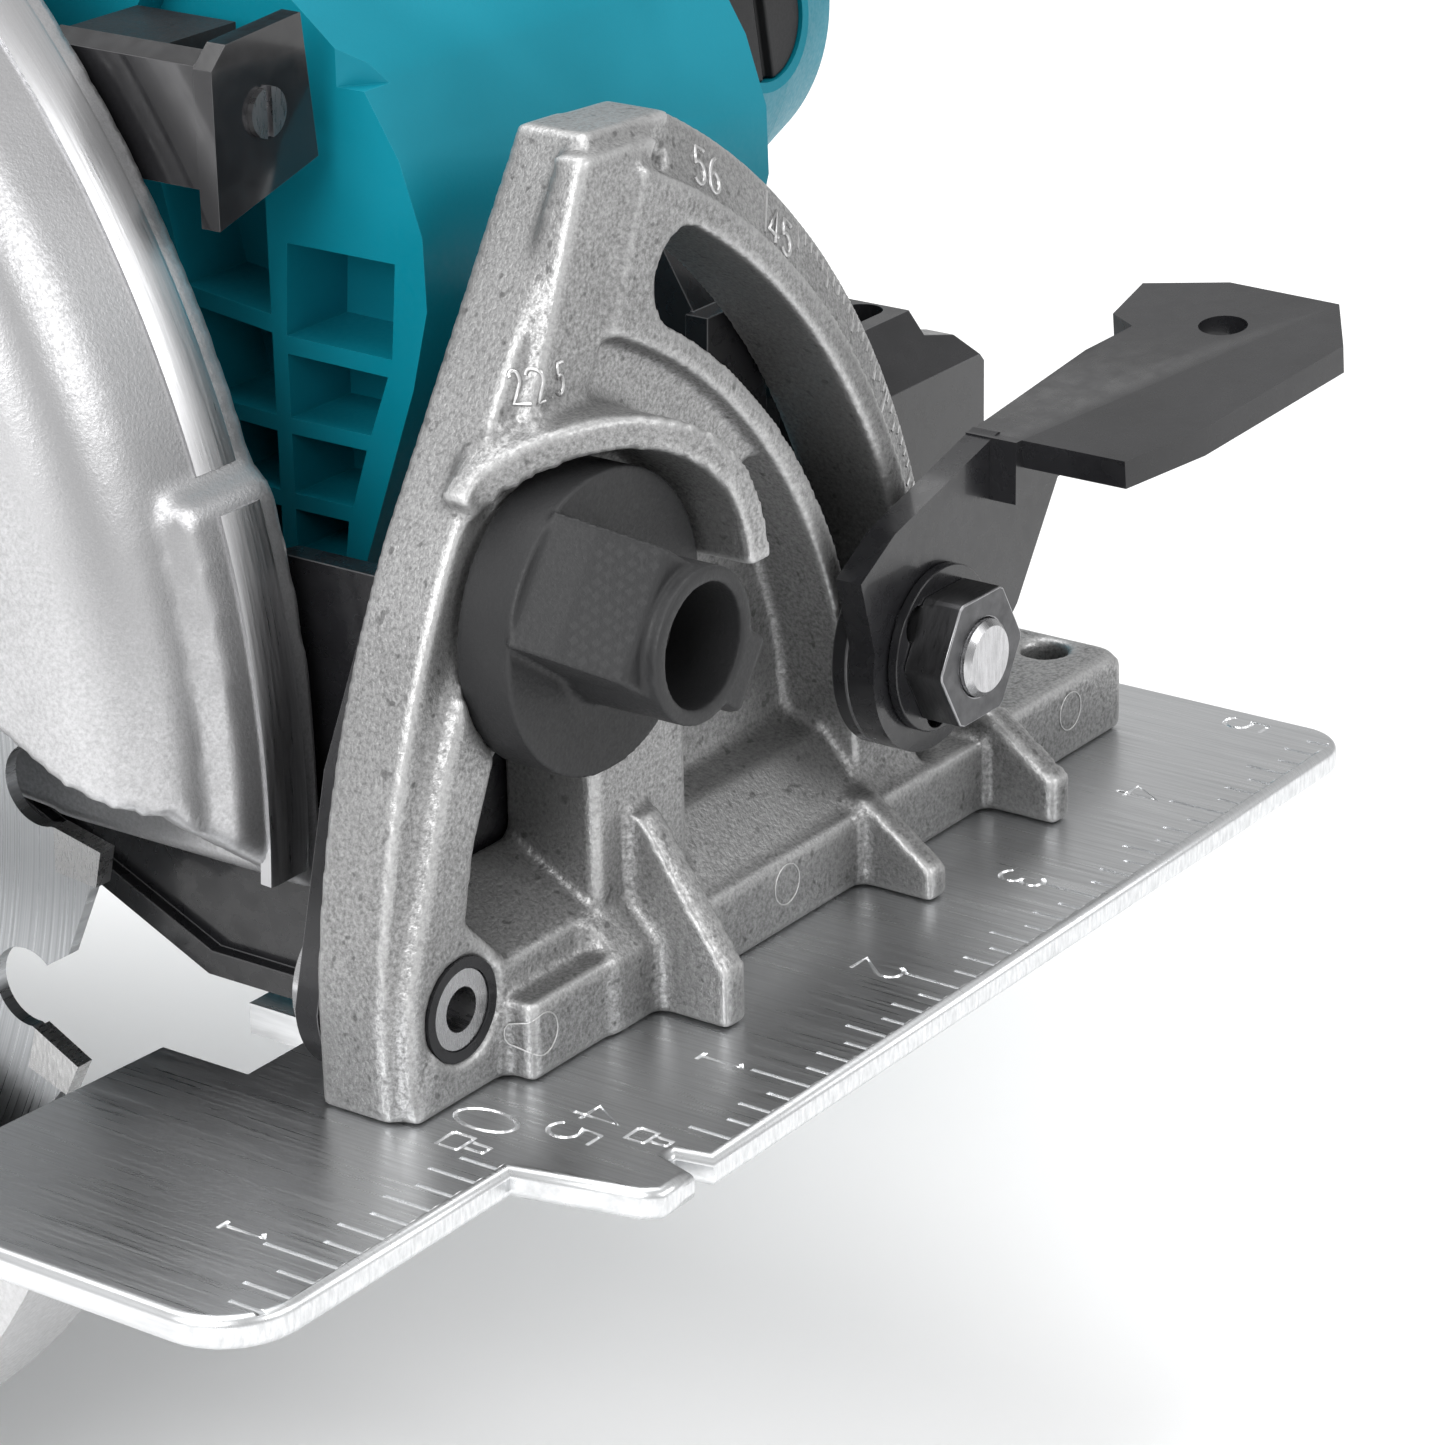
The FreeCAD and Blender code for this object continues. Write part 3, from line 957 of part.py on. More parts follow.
make_base_plate()
make_quadrant()
make_base_hardware()
make_stop_knob()
make_bevel_clamp()
make_tilt_frame()
make_guards()
make_blade()
make_drive()
make_gear_housing()
make_motor_housing()
make_brushes()
make_handle()
make_controls()
doc.recompute()

for item in doc.Objects:
    if "Invalid" in item.State or "Error" in item.State:
        raise SystemExit("failed object: " + item.Label)
for node in NODES:
    if node.Shape.isNull() or not node.Shape.isValid():
        raise SystemExit("bad shape: " + node.Label)

os.makedirs("parts", exist_ok=True)
for node in NODES:
    node.Shape.exportStep("parts/%s.step" % node.Label)
print(len(NODES), "nodes")
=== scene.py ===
import json
import math
import bmesh
import bpy
from mathutils import Matrix, Vector
from mathutils.bvhtree import BVHTree

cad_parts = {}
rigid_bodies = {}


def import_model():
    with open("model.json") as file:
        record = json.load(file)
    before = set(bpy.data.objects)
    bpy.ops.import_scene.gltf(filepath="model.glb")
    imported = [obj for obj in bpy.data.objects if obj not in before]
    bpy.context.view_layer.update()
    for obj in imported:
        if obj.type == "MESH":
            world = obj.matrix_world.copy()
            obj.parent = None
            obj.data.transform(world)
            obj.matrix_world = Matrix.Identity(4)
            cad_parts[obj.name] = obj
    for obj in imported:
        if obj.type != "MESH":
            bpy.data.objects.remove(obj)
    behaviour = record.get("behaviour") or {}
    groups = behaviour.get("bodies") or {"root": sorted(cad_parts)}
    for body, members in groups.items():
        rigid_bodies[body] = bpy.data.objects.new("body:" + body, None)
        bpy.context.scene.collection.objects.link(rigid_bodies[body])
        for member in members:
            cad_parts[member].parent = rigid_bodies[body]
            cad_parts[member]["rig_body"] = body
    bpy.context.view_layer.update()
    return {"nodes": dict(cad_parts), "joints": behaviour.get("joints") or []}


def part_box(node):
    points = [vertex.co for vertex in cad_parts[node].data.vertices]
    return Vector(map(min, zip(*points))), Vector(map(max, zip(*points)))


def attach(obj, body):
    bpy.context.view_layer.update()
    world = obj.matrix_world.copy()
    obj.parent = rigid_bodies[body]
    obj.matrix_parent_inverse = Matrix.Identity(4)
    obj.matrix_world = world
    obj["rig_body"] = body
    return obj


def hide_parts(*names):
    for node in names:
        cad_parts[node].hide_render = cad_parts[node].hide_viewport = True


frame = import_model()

# Corded circular saw, seen from its blade side and front.  Lengths are metres, in the saw's own
# frame: +Z up from the sole, -Y the cutting direction, +X towards the motor.

scene = bpy.context.scene
nodes = frame["nodes"]

# ------------------------------------------------------------------ table and studio
# A plain pale table just below the blade and its guard, two large soft boxes, a top light and
# an even white room.

AZIMUTH, ELEVATION, ROLL = (math.radians(a) for a in (-54.23, 22.18, -1.0))
back = Vector((math.sin(AZIMUTH) * math.cos(ELEVATION), -math.cos(AZIMUTH) * math.cos(ELEVATION),
               math.sin(ELEVATION)))
side = Vector((math.cos(AZIMUTH), math.sin(AZIMUTH), 0.0))
lift = back.cross(side)
right = math.cos(ROLL) * side + math.sin(ROLL) * lift
upward = -math.sin(ROLL) * side + math.cos(ROLL) * lift
camera = bpy.data.objects.new("camera", bpy.data.cameras.new("camera"))
scene.collection.objects.link(camera)
camera.data.lens = 122.1
camera.data.clip_start = 0.02
camera.matrix_world = Matrix.Translation((-0.308118, -0.244558, 0.205302)) @ Matrix(
    (right, upward, back)).transposed().to_4x4()
scene.camera = camera
scene.view_settings.view_transform = "Standard"
scene.view_settings.look = "None"


def soft_box(name, place, target, width, height, power):
    """A rectangular lamp that faces its target."""
    lamp = bpy.data.lights.new(name, "AREA")
    lamp.shape = "RECTANGLE"
    lamp.size, lamp.size_y = width, height
    lamp.energy = power
    holder = bpy.data.objects.new(name, lamp)
    scene.collection.objects.link(holder)
    holder.location = place
    holder.rotation_euler = (Vector(target) - Vector(place)).to_track_quat("-Z", "Y").to_euler()
    return holder


middle = (0.06, 0.08, 0.05)
soft_box("left_box", (-0.95, -0.05, 0.65), middle, 0.9, 0.7, 13.0)
soft_box("front_box", (0.35, -1.1, 0.75), middle, 0.9, 0.6, 7.0)
soft_box("top_box", (0.1, 0.35, 1.25), middle, 1.1, 1.1, 13.0)
world = bpy.data.worlds.new("room")
scene.world = world
world.use_nodes = True
world.node_tree.nodes["Background"].inputs["Color"].default_value = (1.0, 1.0, 1.0, 1.0)
world.node_tree.nodes["Background"].inputs["Strength"].default_value = 0.62

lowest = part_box("lower_guard")[0].z
table_mesh = bpy.data.meshes.new("table")
table_mesh.from_pydata([(-6, -6, lowest), (6, -6, lowest), (6, 6, lowest), (-6, 6, lowest)], [], [(0, 1, 2, 3)])
table = bpy.data.objects.new("table", table_mesh)
scene.collection.objects.link(table)
matt_white = bpy.data.materials.new("matt_white")
matt_white.use_nodes = True
matt_white.node_tree.nodes["Principled BSDF"].inputs["Base Color"].default_value = (0.93, 0.93, 0.93, 1.0)
matt_white.node_tree.nodes["Principled BSDF"].inputs["Roughness"].default_value = 0.9
table_mesh.materials.append(matt_white)


# ------------------------------------------------------------------ sole
# A rolled aluminium plate, brushed along the cut, with rounded edges.  Inch marks and figures are
# stamped into its front edge, so each is a real groove with a bright floor.

class Value:
    """A shader socket that ordinary arithmetic can be written with."""

    def __init__(self, finish, socket):
        self.finish = finish
        self.socket = socket

    def maths(self, operation, first, second):
        return self.finish.node("ShaderNodeMath", {"operation": operation}, {0: first, 1: second})

    def __add__(self, other):
        return self.maths("ADD", self, other)

    def __sub__(self, other):
        return self.maths("SUBTRACT", self, other)

    def __rsub__(self, other):
        return self.maths("SUBTRACT", other, self)

    def __mul__(self, other):
        return self.maths("MULTIPLY", self, other)

    __radd__ = __add__
    __rmul__ = __mul__


class Finish:
    """A material and a short way to add nodes to it."""

    def __init__(self, name, **constants):
        self.material = bpy.data.materials.new(name)
        self.material.use_nodes = True
        self.tree = self.material.node_tree
        self.shader = self.tree.nodes["Principled BSDF"]
        for key, value in constants.items():
            socket = self.shader.inputs[key.replace("_", " ")]
            socket.default_value = (*value, 1.0) if isinstance(value, tuple) else value

    def node(self, kind, settings=None, values=None, output=0):
        """Add a node: its settings first, then the values or links of its inputs."""
        added = self.tree.nodes.new(kind)
        for key, value in (settings or {}).items():
            setattr(added, key, value)
        for key, value in (values or {}).items():
            if isinstance(value, Value):
                self.tree.links.new(value.socket, added.inputs[key])
            else:
                added.inputs[key].default_value = value
        return Value(self, added.outputs[output])

    def place(self, stretch=(1.0, 1.0, 1.0)):
        """The piece's own coordinates, stretched."""
        spot = self.node("ShaderNodeTexCoord", output="Object")
        return self.node("ShaderNodeMapping", {}, {"Vector": spot, "Scale": stretch})

    def noise(self, scale, detail=3.0, roughness=0.6, stretch=(1.0, 1.0, 1.0)):
        return self.node("ShaderNodeTexNoise", {}, {"Vector": self.place(stretch), "Scale": scale,
                                                    "Detail": detail, "Roughness": roughness})

    def span(self, value, low, high, start, stop):
        """Map a value from low..high to start..stop, clamped."""
        return self.node("ShaderNodeMapRange", {}, {"Value": value, "From Min": low, "From Max": high,
                                                    "To Min": start, "To Max": stop})

    def shade(self, factor, first, second):
        """A colour between two others."""
        return self.node("ShaderNodeMix", {"data_type": "RGBA"},
                         {0: factor, 6: (*first, 1.0) if isinstance(first, tuple) else first,
                          7: (*second, 1.0) if isinstance(second, tuple) else second}, 2)

    def feed(self, **links):
        for key, value in links.items():
            self.tree.links.new(value.socket, self.shader.inputs[key.replace("_", " ")])
        return self

    def bump(self, height, strength, distance):
        return self.feed(Normal=self.node("ShaderNodeBump", {}, {"Height": height, "Strength": strength,
                                                                 "Distance": distance}))

    def edges(self, low=0.51, high=0.57):
        """Worn convex edges, from the mesh's own curvature."""
        point = self.node("ShaderNodeNewGeometry", output="Pointiness")
        return self.span(point, low, high, 0.0, 1.0)


def machined(name, tone, rough, stretch, scale=220.0, metallic=1.0, depth=0.00003):
    """Turned, ground or brushed metal: long streaks along one direction."""
    finish = Finish(name, Metallic=metallic, Roughness=rough)
    streak = finish.noise(scale, 4.0, 0.65, stretch)
    dull = tuple(part * 0.72 for part in tone)
    finish.feed(Base_Color=finish.shade(finish.span(streak, 0.3, 0.7, 0.0, 1.0), dull, tone))
    finish.feed(Roughness=finish.span(streak, 0.3, 0.7, rough + 0.1, rough - 0.08))
    return finish.bump(streak, 0.3, depth)


def dress(finish, *names):
    """Give CAD nodes their finish."""
    for name in names:
        nodes[name].data.materials.clear()
        nodes[name].data.materials.append(finish.material)


def stand_in(piece, node):
    """Let a finished piece take the place of a CAD node."""
    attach(piece, nodes[node]["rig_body"])
    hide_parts(node)
    return piece


def plain_mesh(holder, name):
    """The evaluated mesh of an object, as a new object at the origin."""
    bpy.context.view_layer.update()
    evaluated = holder.evaluated_get(bpy.context.evaluated_depsgraph_get())
    mesh = bpy.data.meshes.new_from_object(evaluated)
    mesh.name = name
    piece = bpy.data.objects.new(name, mesh)
    scene.collection.objects.link(piece)
    bpy.data.objects.remove(holder)
    return piece


def merged_copy(node):
    """A loose copy of a CAD node's shape, with doubled corners merged and flats made whole."""
    source = nodes[node].data
    mesh = bpy.data.meshes.new(node + "_copy")
    mesh.from_pydata([v.co for v in source.vertices], [], [tuple(p.vertices) for p in source.polygons])
    mesh.materials.append(source.materials[0])
    work = bmesh.new()
    work.from_mesh(mesh)
    bmesh.ops.remove_doubles(work, verts=work.verts, dist=2e-6)
    bmesh.ops.dissolve_limit(work, angle_limit=math.radians(0.4), verts=work.verts, edges=work.edges)
    work.to_mesh(mesh)
    work.free()
    mesh.shade_smooth()
    holder = bpy.data.objects.new(node + "_copy", mesh)
    scene.collection.objects.link(holder)
    return holder


def row_of(name, pattern, count, start, step=(0, 0, 0), turn=(0, 0, 0), first=(0, 0, 0)):
    """Copies of a pattern mesh: each is moved by step and turned by turn from the last."""
    tree = bpy.data.node_groups.new(name, "GeometryNodeTree")
    for label, kind, value in (("Count", "NodeSocketInt", count), ("Start", "NodeSocketVector", start),
                               ("Step", "NodeSocketVector", step), ("Turn", "NodeSocketVector", turn),
                               ("First turn", "NodeSocketVector", first)):
        tree.interface.new_socket(label, in_out="INPUT", socket_type=kind).default_value = value
    tree.interface.new_socket("Geometry", in_out="OUTPUT", socket_type="NodeSocketGeometry")
    given = tree.nodes.new("NodeGroupInput").outputs
    line = tree.nodes.new("GeometryNodeMeshLine")
    tree.links.new(given["Count"], line.inputs["Count"])
    tree.links.new(given["Start"], line.inputs["Start Location"])
    tree.links.new(given["Step"], line.inputs["Offset"])
    number = tree.nodes.new("GeometryNodeInputIndex")
    angle = tree.nodes.new("ShaderNodeVectorMath")
    angle.operation = "MULTIPLY_ADD"
    tree.links.new(number.outputs[0], angle.inputs[0])
    tree.links.new(given["Turn"], angle.inputs[1])
    tree.links.new(given["First turn"], angle.inputs[2])
    source = tree.nodes.new("GeometryNodeObjectInfo")
    holder = bpy.data.objects.new(name + "_pattern", pattern)
    scene.collection.objects.link(holder)
    source.inputs["Object"].default_value = holder
    copies = tree.nodes.new("GeometryNodeInstanceOnPoints")
    tree.links.new(line.outputs["Mesh"], copies.inputs["Points"])
    tree.links.new(source.outputs["Geometry"], copies.inputs["Instance"])
    tree.links.new(angle.outputs[0], copies.inputs["Rotation"])
    solid = tree.nodes.new("GeometryNodeRealizeInstances")
    tree.links.new(copies.outputs["Instances"], solid.inputs["Geometry"])
    coat = tree.nodes.new("GeometryNodeSetMaterial")
    coat.inputs["Material"].default_value = pattern.materials[0]
    tree.links.new(solid.outputs["Geometry"], coat.inputs["Geometry"])
    tree.links.new(coat.outputs["Geometry"], tree.nodes.new("NodeGroupOutput").inputs["Geometry"])
    bearer = bpy.data.objects.new(name + "_bearer", bpy.data.meshes.new(name + "_bearer"))
    scene.collection.objects.link(bearer)
    bearer.modifiers.new("copies", "NODES").node_group = tree
    piece = plain_mesh(bearer, name)
    bpy.data.objects.remove(holder)
    return piece


def brick(low, high, material):
    """A small box between two corners."""
    mesh = bpy.data.meshes.new("brick")
    work = bmesh.new()
    bmesh.ops.create_cube(work, size=1.0)
    spread = [b - a for a, b in zip(low, high)]
    centre = [(a + b) / 2 for a, b in zip(low, high)]
    bmesh.ops.scale(work, vec=spread, verts=work.verts)
    bmesh.ops.translate(work, vec=centre, verts=work.verts)
    work.to_mesh(mesh)
    work.free()
    mesh.materials.append(material)
    return mesh


def bow(x, y, wide, tall, start, stop, steps=10):
    """Points along an elliptical arc."""
    angles = [math.radians(start + (stop - start) * step / steps) for step in range(steps + 1)]
    return [(x + wide * math.cos(a), y + tall * math.sin(a)) for a in angles]


FIGURES = {
    "0": [bow(0.5, 0.8, 0.42, 0.74, 0, 360, 18)],
    "1": [[(0.28, 1.34), (0.5, 1.54), (0.5, 0.06)], [(0.25, 0.06), (0.75, 0.06)]],
    "2": [bow(0.5, 1.12, 0.40, 0.42, 160, -35) + [(0.10, 0.06), (0.92, 0.06)]],
    "3": [bow(0.46, 1.16, 0.38, 0.38, 150, -80) + bow(0.46, 0.44, 0.42, 0.40, 85, -150)],
    "4": [[(0.95, 0.45), (0.06, 0.45), (0.70, 1.54), (0.70, 0.06)]],
    "5": [[(0.86, 1.54), (0.20, 1.54), (0.14, 0.86)] + bow(0.46, 0.52, 0.44, 0.48, 120, -145)],
    "6": [bow(0.48, 0.48, 0.38, 0.42, 90, 450, 16), bow(0.74, 0.52, 0.64, 1.02, 105, 178, 6)],
    ".": [[(0.46, 0.06), (0.56, 0.06)]],
    "blade": [[(0.0, 0.0), (0.9, 0.0), (0.9, 0.8), (0.0, 0.8), (0.0, 0.0)],
              [(0.25, 0.8), (0.25, 1.6), (0.65, 1.6), (0.65, 0.8)]],
}


def written(name, words, radius, material, place, weld=None):
    """Strokes of figures as round rods; place turns a figure's own x and y into a point.

    Where weld is given, crossing strokes are made one clean skin of that fineness.
    """
    curve = bpy.data.curves.new(name, "CURVE")
    curve.dimensions = "3D"
    curve.bevel_depth = radius
    curve.bevel_resolution = 1
    curve.use_fill_caps = True
    for word, where, size in words:
        glyphs = [word] if word in FIGURES else list(word)
        for number, glyph in enumerate(glyphs):
            for stroke in FIGURES[glyph]:
                spline = curve.splines.new("POLY")
                spline.points.add(len(stroke) - 1)
                for point, (x, y) in zip(spline.points, stroke):
                    spot = place(where, (x + 1.25 * number) * size, y * size)
                    point.co = (*spot, 1.0)
    curve.materials.append(material)
    holder = bpy.data.objects.new(name, curve)
    scene.collection.objects.link(holder)
    rods = plain_mesh(holder, name)
    if weld:
        skin = rods.modifiers.new("weld", "REMESH")
        skin.mode = "VOXEL"
        skin.voxel_size = weld
        rods = plain_mesh(rods, name)
        rods.data.materials.clear()
        rods.data.materials.append(material)
    return rods


def cut_away(holder, pieces):
    """Subtract loose pieces from a copy, and remove them."""
    joined = bpy.data.meshes.new("joined_cutters")
    work = bmesh.new()
    for piece in pieces:
        work.from_mesh(piece.data)
    bmesh.ops.recalc_face_normals(work, faces=work.faces)
    work.to_mesh(joined)
    work.free()
    joined.materials.append(pieces[0].data.materials[0])
    cutter = bpy.data.objects.new("joined_cutters", joined)
    scene.collection.objects.link(cutter)
    cutting = holder.modifiers.new("cutting", "BOOLEAN")
    cutting.operation = "DIFFERENCE"
    cutting.solver = "EXACT"
    cutting.use_self = True
    cutting.material_mode = "TRANSFER"
    cutting.object = cutter
    for piece in pieces:
        bpy.data.objects.remove(piece)
    return cutter


INCH = 0.0254
DEEP, WIDE = 0.00022, 0.00026
sole_low, sole_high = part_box("base_plate")
top, toe = sole_high.z, sole_low.y
brushed = machined("brushed_sole", (0.70, 0.71, 0.72), 0.32, (40.0, 1.0, 10.0), 60.0)
stamped = machined("stamped_floor", (0.95, 0.96, 0.97), 0.30, (1.0, 1.0, 1.0), 400.0).material
dress(brushed, "base_plate")
cutters = []
for label, first, pitch, left_count, right_count, left_long, right_long in (
        ("eighth", 0.125, 0.25, 6, 18, 0.0041, 0.0034), ("quarter", 0.25, 0.5, 3, 9, 0.0052, 0.0044),
        ("half", 0.5, 1.0, 1, 5, 0.0052, 0.0054), ("inch", 1.0, 1.0, 1, 4, 0.0083, 0.0074)):
    start = first + pitch * {"eighth": 2, "quarter": 1}.get(label, 0)
    tick = brick((-WIDE, 0.0, -DEEP), (WIDE, left_long, DEEP), stamped)
    cutters.append(row_of(label + "_marks_left", tick, left_count, (-first * INCH, 0.0009, top),
                          (-pitch * INCH, 0, 0)))
    tick = brick((-WIDE, 0.0, -DEEP), (WIDE, right_long - 0.0009, DEEP), stamped)
    cutters.append(row_of(label + "_marks_right", tick, right_count,
                          (start * INCH + 0.0005, toe + 0.0009, top), (pitch * INCH, 0, 0)))


def from_behind(where, x, y):
    """Figures on the sole are read from behind the saw."""
    return (where[0] - x, where[1] - y, top)


cutters.append(written("ruler_figures", [
    ("0", (0.0062, 0.0112), 0.0045), ("45", (0.0122, 0.0022), 0.0034), ("blade", (0.0005, 0.0086), 0.0030),
    ("blade", (0.0105, -0.0050), 0.0026), ("1", (-0.0232, 0.0146), 0.0032), ("1", (0.0272, -0.0008), 0.0032),
    ("2", (0.0526, -0.0016), 0.0034), ("3", (0.0782, -0.0018), 0.0032), ("4", (0.1038, -0.0003), 0.0034),
    ("5", (0.1262, -0.0002), 0.0032)], 0.00028, stamped, from_behind, 0.00011))
plate_holder = merged_copy("base_plate")
stamp = cut_away(plate_holder, cutters)
sole = stand_in(plain_mesh(plate_holder, "sole_plate"), "base_plate")
bpy.data.objects.remove(stamp)
for face in sole.data.polygons:
    face.use_smooth = 0.001 < abs(face.normal.z) < 0.999
for label, thick in (("quadrant_rivets", 1), ("rear_bracket_rivets", 1)):
    dress(machined(label + "_heads", (0.60, 0.60, 0.61), 0.30, (1.0, 1.0, 1.0), 300.0), label)


# ------------------------------------------------------------------ bevel quadrant
# One aluminium die casting: slotted arc, scale rim, window, foot and ribs, shot blasted all over.
# Its angle marks and figures stand proud of the casting.

def sand_blasted(name, dark, light, grain, rough, worn, depth=0.00016, rub=0.6, pits=0.55):
    """Aluminium casting, shot blasted: a fine grain with dark pits, cloudy tone, worn edges."""
    finish = Finish(name, Metallic=0.85, Roughness=rough)
    speck = finish.noise(grain, 2.0, 0.7)
    cloud = finish.noise(60.0, 3.0, 0.5)
    tone = finish.shade(finish.span(speck + cloud * 0.3, 0.42, 0.88, 0.0, 1.0), dark, light)
    pit = finish.span(finish.noise(grain * 0.35, 1.0, 0.5), 0.27, 0.34, pits, 0.0)
    tone = finish.shade(pit, tone, tuple(part * 0.35 for part in dark))
    finish.feed(Base_Color=finish.shade(finish.edges() * rub, tone, worn))
    finish.feed(Roughness=finish.span(speck, 0.35, 0.65, rough + 0.08, rough - 0.06))
    return finish.bump(speck, 0.4, depth)


def softened(node, name, voxel, rounds, factor=0.5):
    """A CAD node's shape with the rounded edges of a casting or a thick moulding."""
    holder = merged_copy(node)
    remesh = holder.modifiers.new("skin", "REMESH")
    remesh.mode = "VOXEL"
    remesh.voxel_size = voxel * 1.0
    remesh.use_smooth_shade = True
    relax = holder.modifiers.new("relax", "SMOOTH")
    relax.iterations = rounds
    relax.factor = factor
    return stand_in(plain_mesh(holder, name), node)


cast_grey = sand_blasted("cast_quadrant", (0.17, 0.17, 0.17), (0.40, 0.40, 0.40), 2400.0, 0.46,
                         (0.72, 0.72, 0.72))
dress(cast_grey, "bevel_quadrant")
casting = softened("bevel_quadrant", "bevel_quadrant_casting", 0.00062, 3)
casting_face = BVHTree.FromObject(casting, bpy.context.evaluated_depsgraph_get())
pivot = Vector(next(j for j in frame["joints"] if j["name"] == "bevel")["pos_m"])
RIM_INNER, RIM_OUTER = 0.0790, 0.0838
FACE_INNER, FACE_OUTER = 0.01286, 0.01472
slope = math.atan2(FACE_OUTER - FACE_INNER, RIM_OUTER - RIM_INNER)
raised = machined("raised_marks", (0.62, 0.62, 0.62), 0.38, (1.0, 1.0, 1.0), 900.0).material


def rim_tick(length, half_wide):
    """A mark that lies on the conical rim, for a turn of nought about the pivot."""
    mesh = brick((-length, -0.00010, -half_wide), (-0.0002, 0.00016, half_wide), raised)
    mesh.transform(Matrix.Translation((RIM_OUTER, FACE_OUTER, 0)) @ Matrix.Rotation(slope, 4, "Z"))
    return mesh


degree = math.radians(1.0)
centre = (pivot.x, 0.0, pivot.z)
for label, length, count, every, first in (("single", 0.0014, 40, 1, 6), ("five", 0.0026, 9, 5, 5),
                                           ("main", 0.0046, 3, 22.5, 5)):
    marks = row_of(label + "_degree_marks", rim_tick(length, 0.00011 if label == "single" else 0.00016), count,
                   centre, turn=(0, -degree * every, 0), first=(0, -degree * first, 0))
    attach(marks, "sole")


def on_face(x, z):
    """The point of the casting's front face at a given x and z."""
    hit = casting_face.ray_cast(Vector((x, -0.05, z)), Vector((0, 1, 0)))[0]
    return (x, hit.y - 0.00004 if hit else 0.012, z)


def on_rim(where, x, y):
    """A point on the conical rim: where is the angle, x runs clockwise and y outwards."""
    reach = RIM_INNER + 0.0002 + y
    angle = math.radians(where) - x / reach
    return on_face(pivot.x + reach * math.cos(angle), pivot.z + reach * math.sin(angle))


def on_web(where, x, y):
    """A point on the front face, from a lower left corner; figures there are narrow."""
    return on_face(where[0] + x * where[2], where[1] + y)


RINGS = [(0.0115, 0.0058, 1.0), (0.0510, 0.0062, 1.0), (0.1040, 0.0066, 1.0)]
FIGURES["ring"] = [bow(0.5, 0.5, 0.5, 0.5, 0, 360, 24)]
for name, words, place, radius in (
        ("rim_figures", [("56", 60.0, 0.0022), ("45", 49.6, 0.0022)], on_rim, 0.00024),
        ("web_figures", [("22.5", (0.0192, 0.0664, 0.55), 0.0020)], on_web, 0.00022),
        ("ejector_rings", [("ring", where, 0.0042) for where in RINGS], on_web, 0.00009)):
    figures = written(name, words, radius, raised if name != "ejector_rings" else cast_grey.material, place)
    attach(figures, "sole")


# ------------------------------------------------------------------ stop dial
# Glass-filled nylon dial with a spark-eroded skin: disc, hollow barrel, thumb wing and pointer,
# held by one steel screw down the barrel.

def moulded(name, tone, rough, grain, depth, gloss=0.28, rub=0.35):
    """Glass-filled plastic with a spark-eroded mould texture."""
    finish = Finish(name, Roughness=rough, Specular_IOR_Level=gloss)
    speck = finish.noise(grain, 2.0, 0.6)
    cloud = finish.noise(45.0, 2.0, 0.5)
    bright = tuple(min(1.0, part * 1.18 + 0.004) for part in tone)
    worn = tuple(min(1.0, part * 1.35 + 0.02) for part in tone)
    body = finish.shade(finish.span(cloud, 0.35, 0.65, 0.0, 1.0), tone, bright)
    finish.feed(Base_Color=finish.shade(finish.edges() * rub, body, worn))
    finish.feed(Roughness=finish.span(speck, 0.3, 0.7, rough - 0.06, rough + 0.08))
    return finish.bump(speck, 0.35, depth)


charcoal = moulded("charcoal_nylon", (0.014, 0.0142, 0.015), 0.50, 2600.0, 0.00010)
dress(charcoal, "stop_knob")
dress(machined("dark_screw", (0.22, 0.22, 0.225), 0.32, (1.0, 6.0, 1.0), 500.0), "knob_screw")
softened("stop_knob", "stop_knob_moulding", 0.00028, 2)


# ------------------------------------------------------------------ bevel clamp
# Pressed lever in black enamel, its eye disc and toothed keeper, and a blackened hexagon nut on
# a bright stud.

def painted(name, tone, rough, coat):
    """Enamel on pressed steel, with a faint orange peel and a cloudy depth."""
    finish = Finish(name, Roughness=rough, Coat_Weight=coat, Coat_Roughness=0.08, Specular_IOR_Level=0.3)
    peel = finish.noise(520.0, 2.0, 0.5)
    cloud = finish.span(finish.noise(55.0, 3.0), 0.35, 0.65, 0.0, 1.0)
    finish.feed(Base_Color=finish.shade(cloud, tone, tuple(part * 1.7 + 0.002 for part in tone)))
    finish.feed(Roughness=finish.span(peel, 0.3, 0.7, rough - 0.05, rough + 0.1))
    return finish.bump(peel, 0.25, 0.00005)


def crisp(node, name, width, segments=2, cutters=(), edge_wear_and_highlight=None):
    """A CAD node's shape with a small rounding along every edge, as tooling or a blank leaves it."""
    holder = merged_copy(node)
    # Where an edge finish is given, it goes on the rounding. Its lighter colour is a painted highlight along the
    # edges, and on the nut it is partly wear as well.
    if edge_wear_and_highlight:
        holder.data.materials.append(edge_wear_and_highlight.material)
    cutter = cut_away(holder, cutters) if cutters else None
    edge = holder.modifiers.new("edge", "BEVEL")
    edge.width = width
    edge.segments = segments
    edge.limit_method = "ANGLE"
    edge.angle_limit = math.radians(32)
    edge.harden_normals = True
    edge.material = 1 if edge_wear_and_highlight else -1
    piece = plain_mesh(holder, name)
    if cutter:
        bpy.data.objects.remove(cutter)
    return stand_in(piece, node)


enamel = painted("black_enamel", (0.007, 0.007, 0.008), 0.26, 0.25)
dress(enamel, "bevel_lever", "lever_washer", "toothed_retainer")
dress(machined("blackened_nut", (0.10, 0.10, 0.104), 0.34, (1.0, 6.0, 1.0), 500.0), "bevel_nut")
dress(machined("bright_stud", (0.50, 0.50, 0.51), 0.26, (6.0, 1.0, 1.0), 400.0), "bevel_bolt")
# A lighter black enamel on the rounded edges of the pressings and the lock plate: a painted highlight along them.
enamel_edge_highlight = painted("enamel_edge_highlight", (0.045, 0.045, 0.047), 0.26, 0.3)
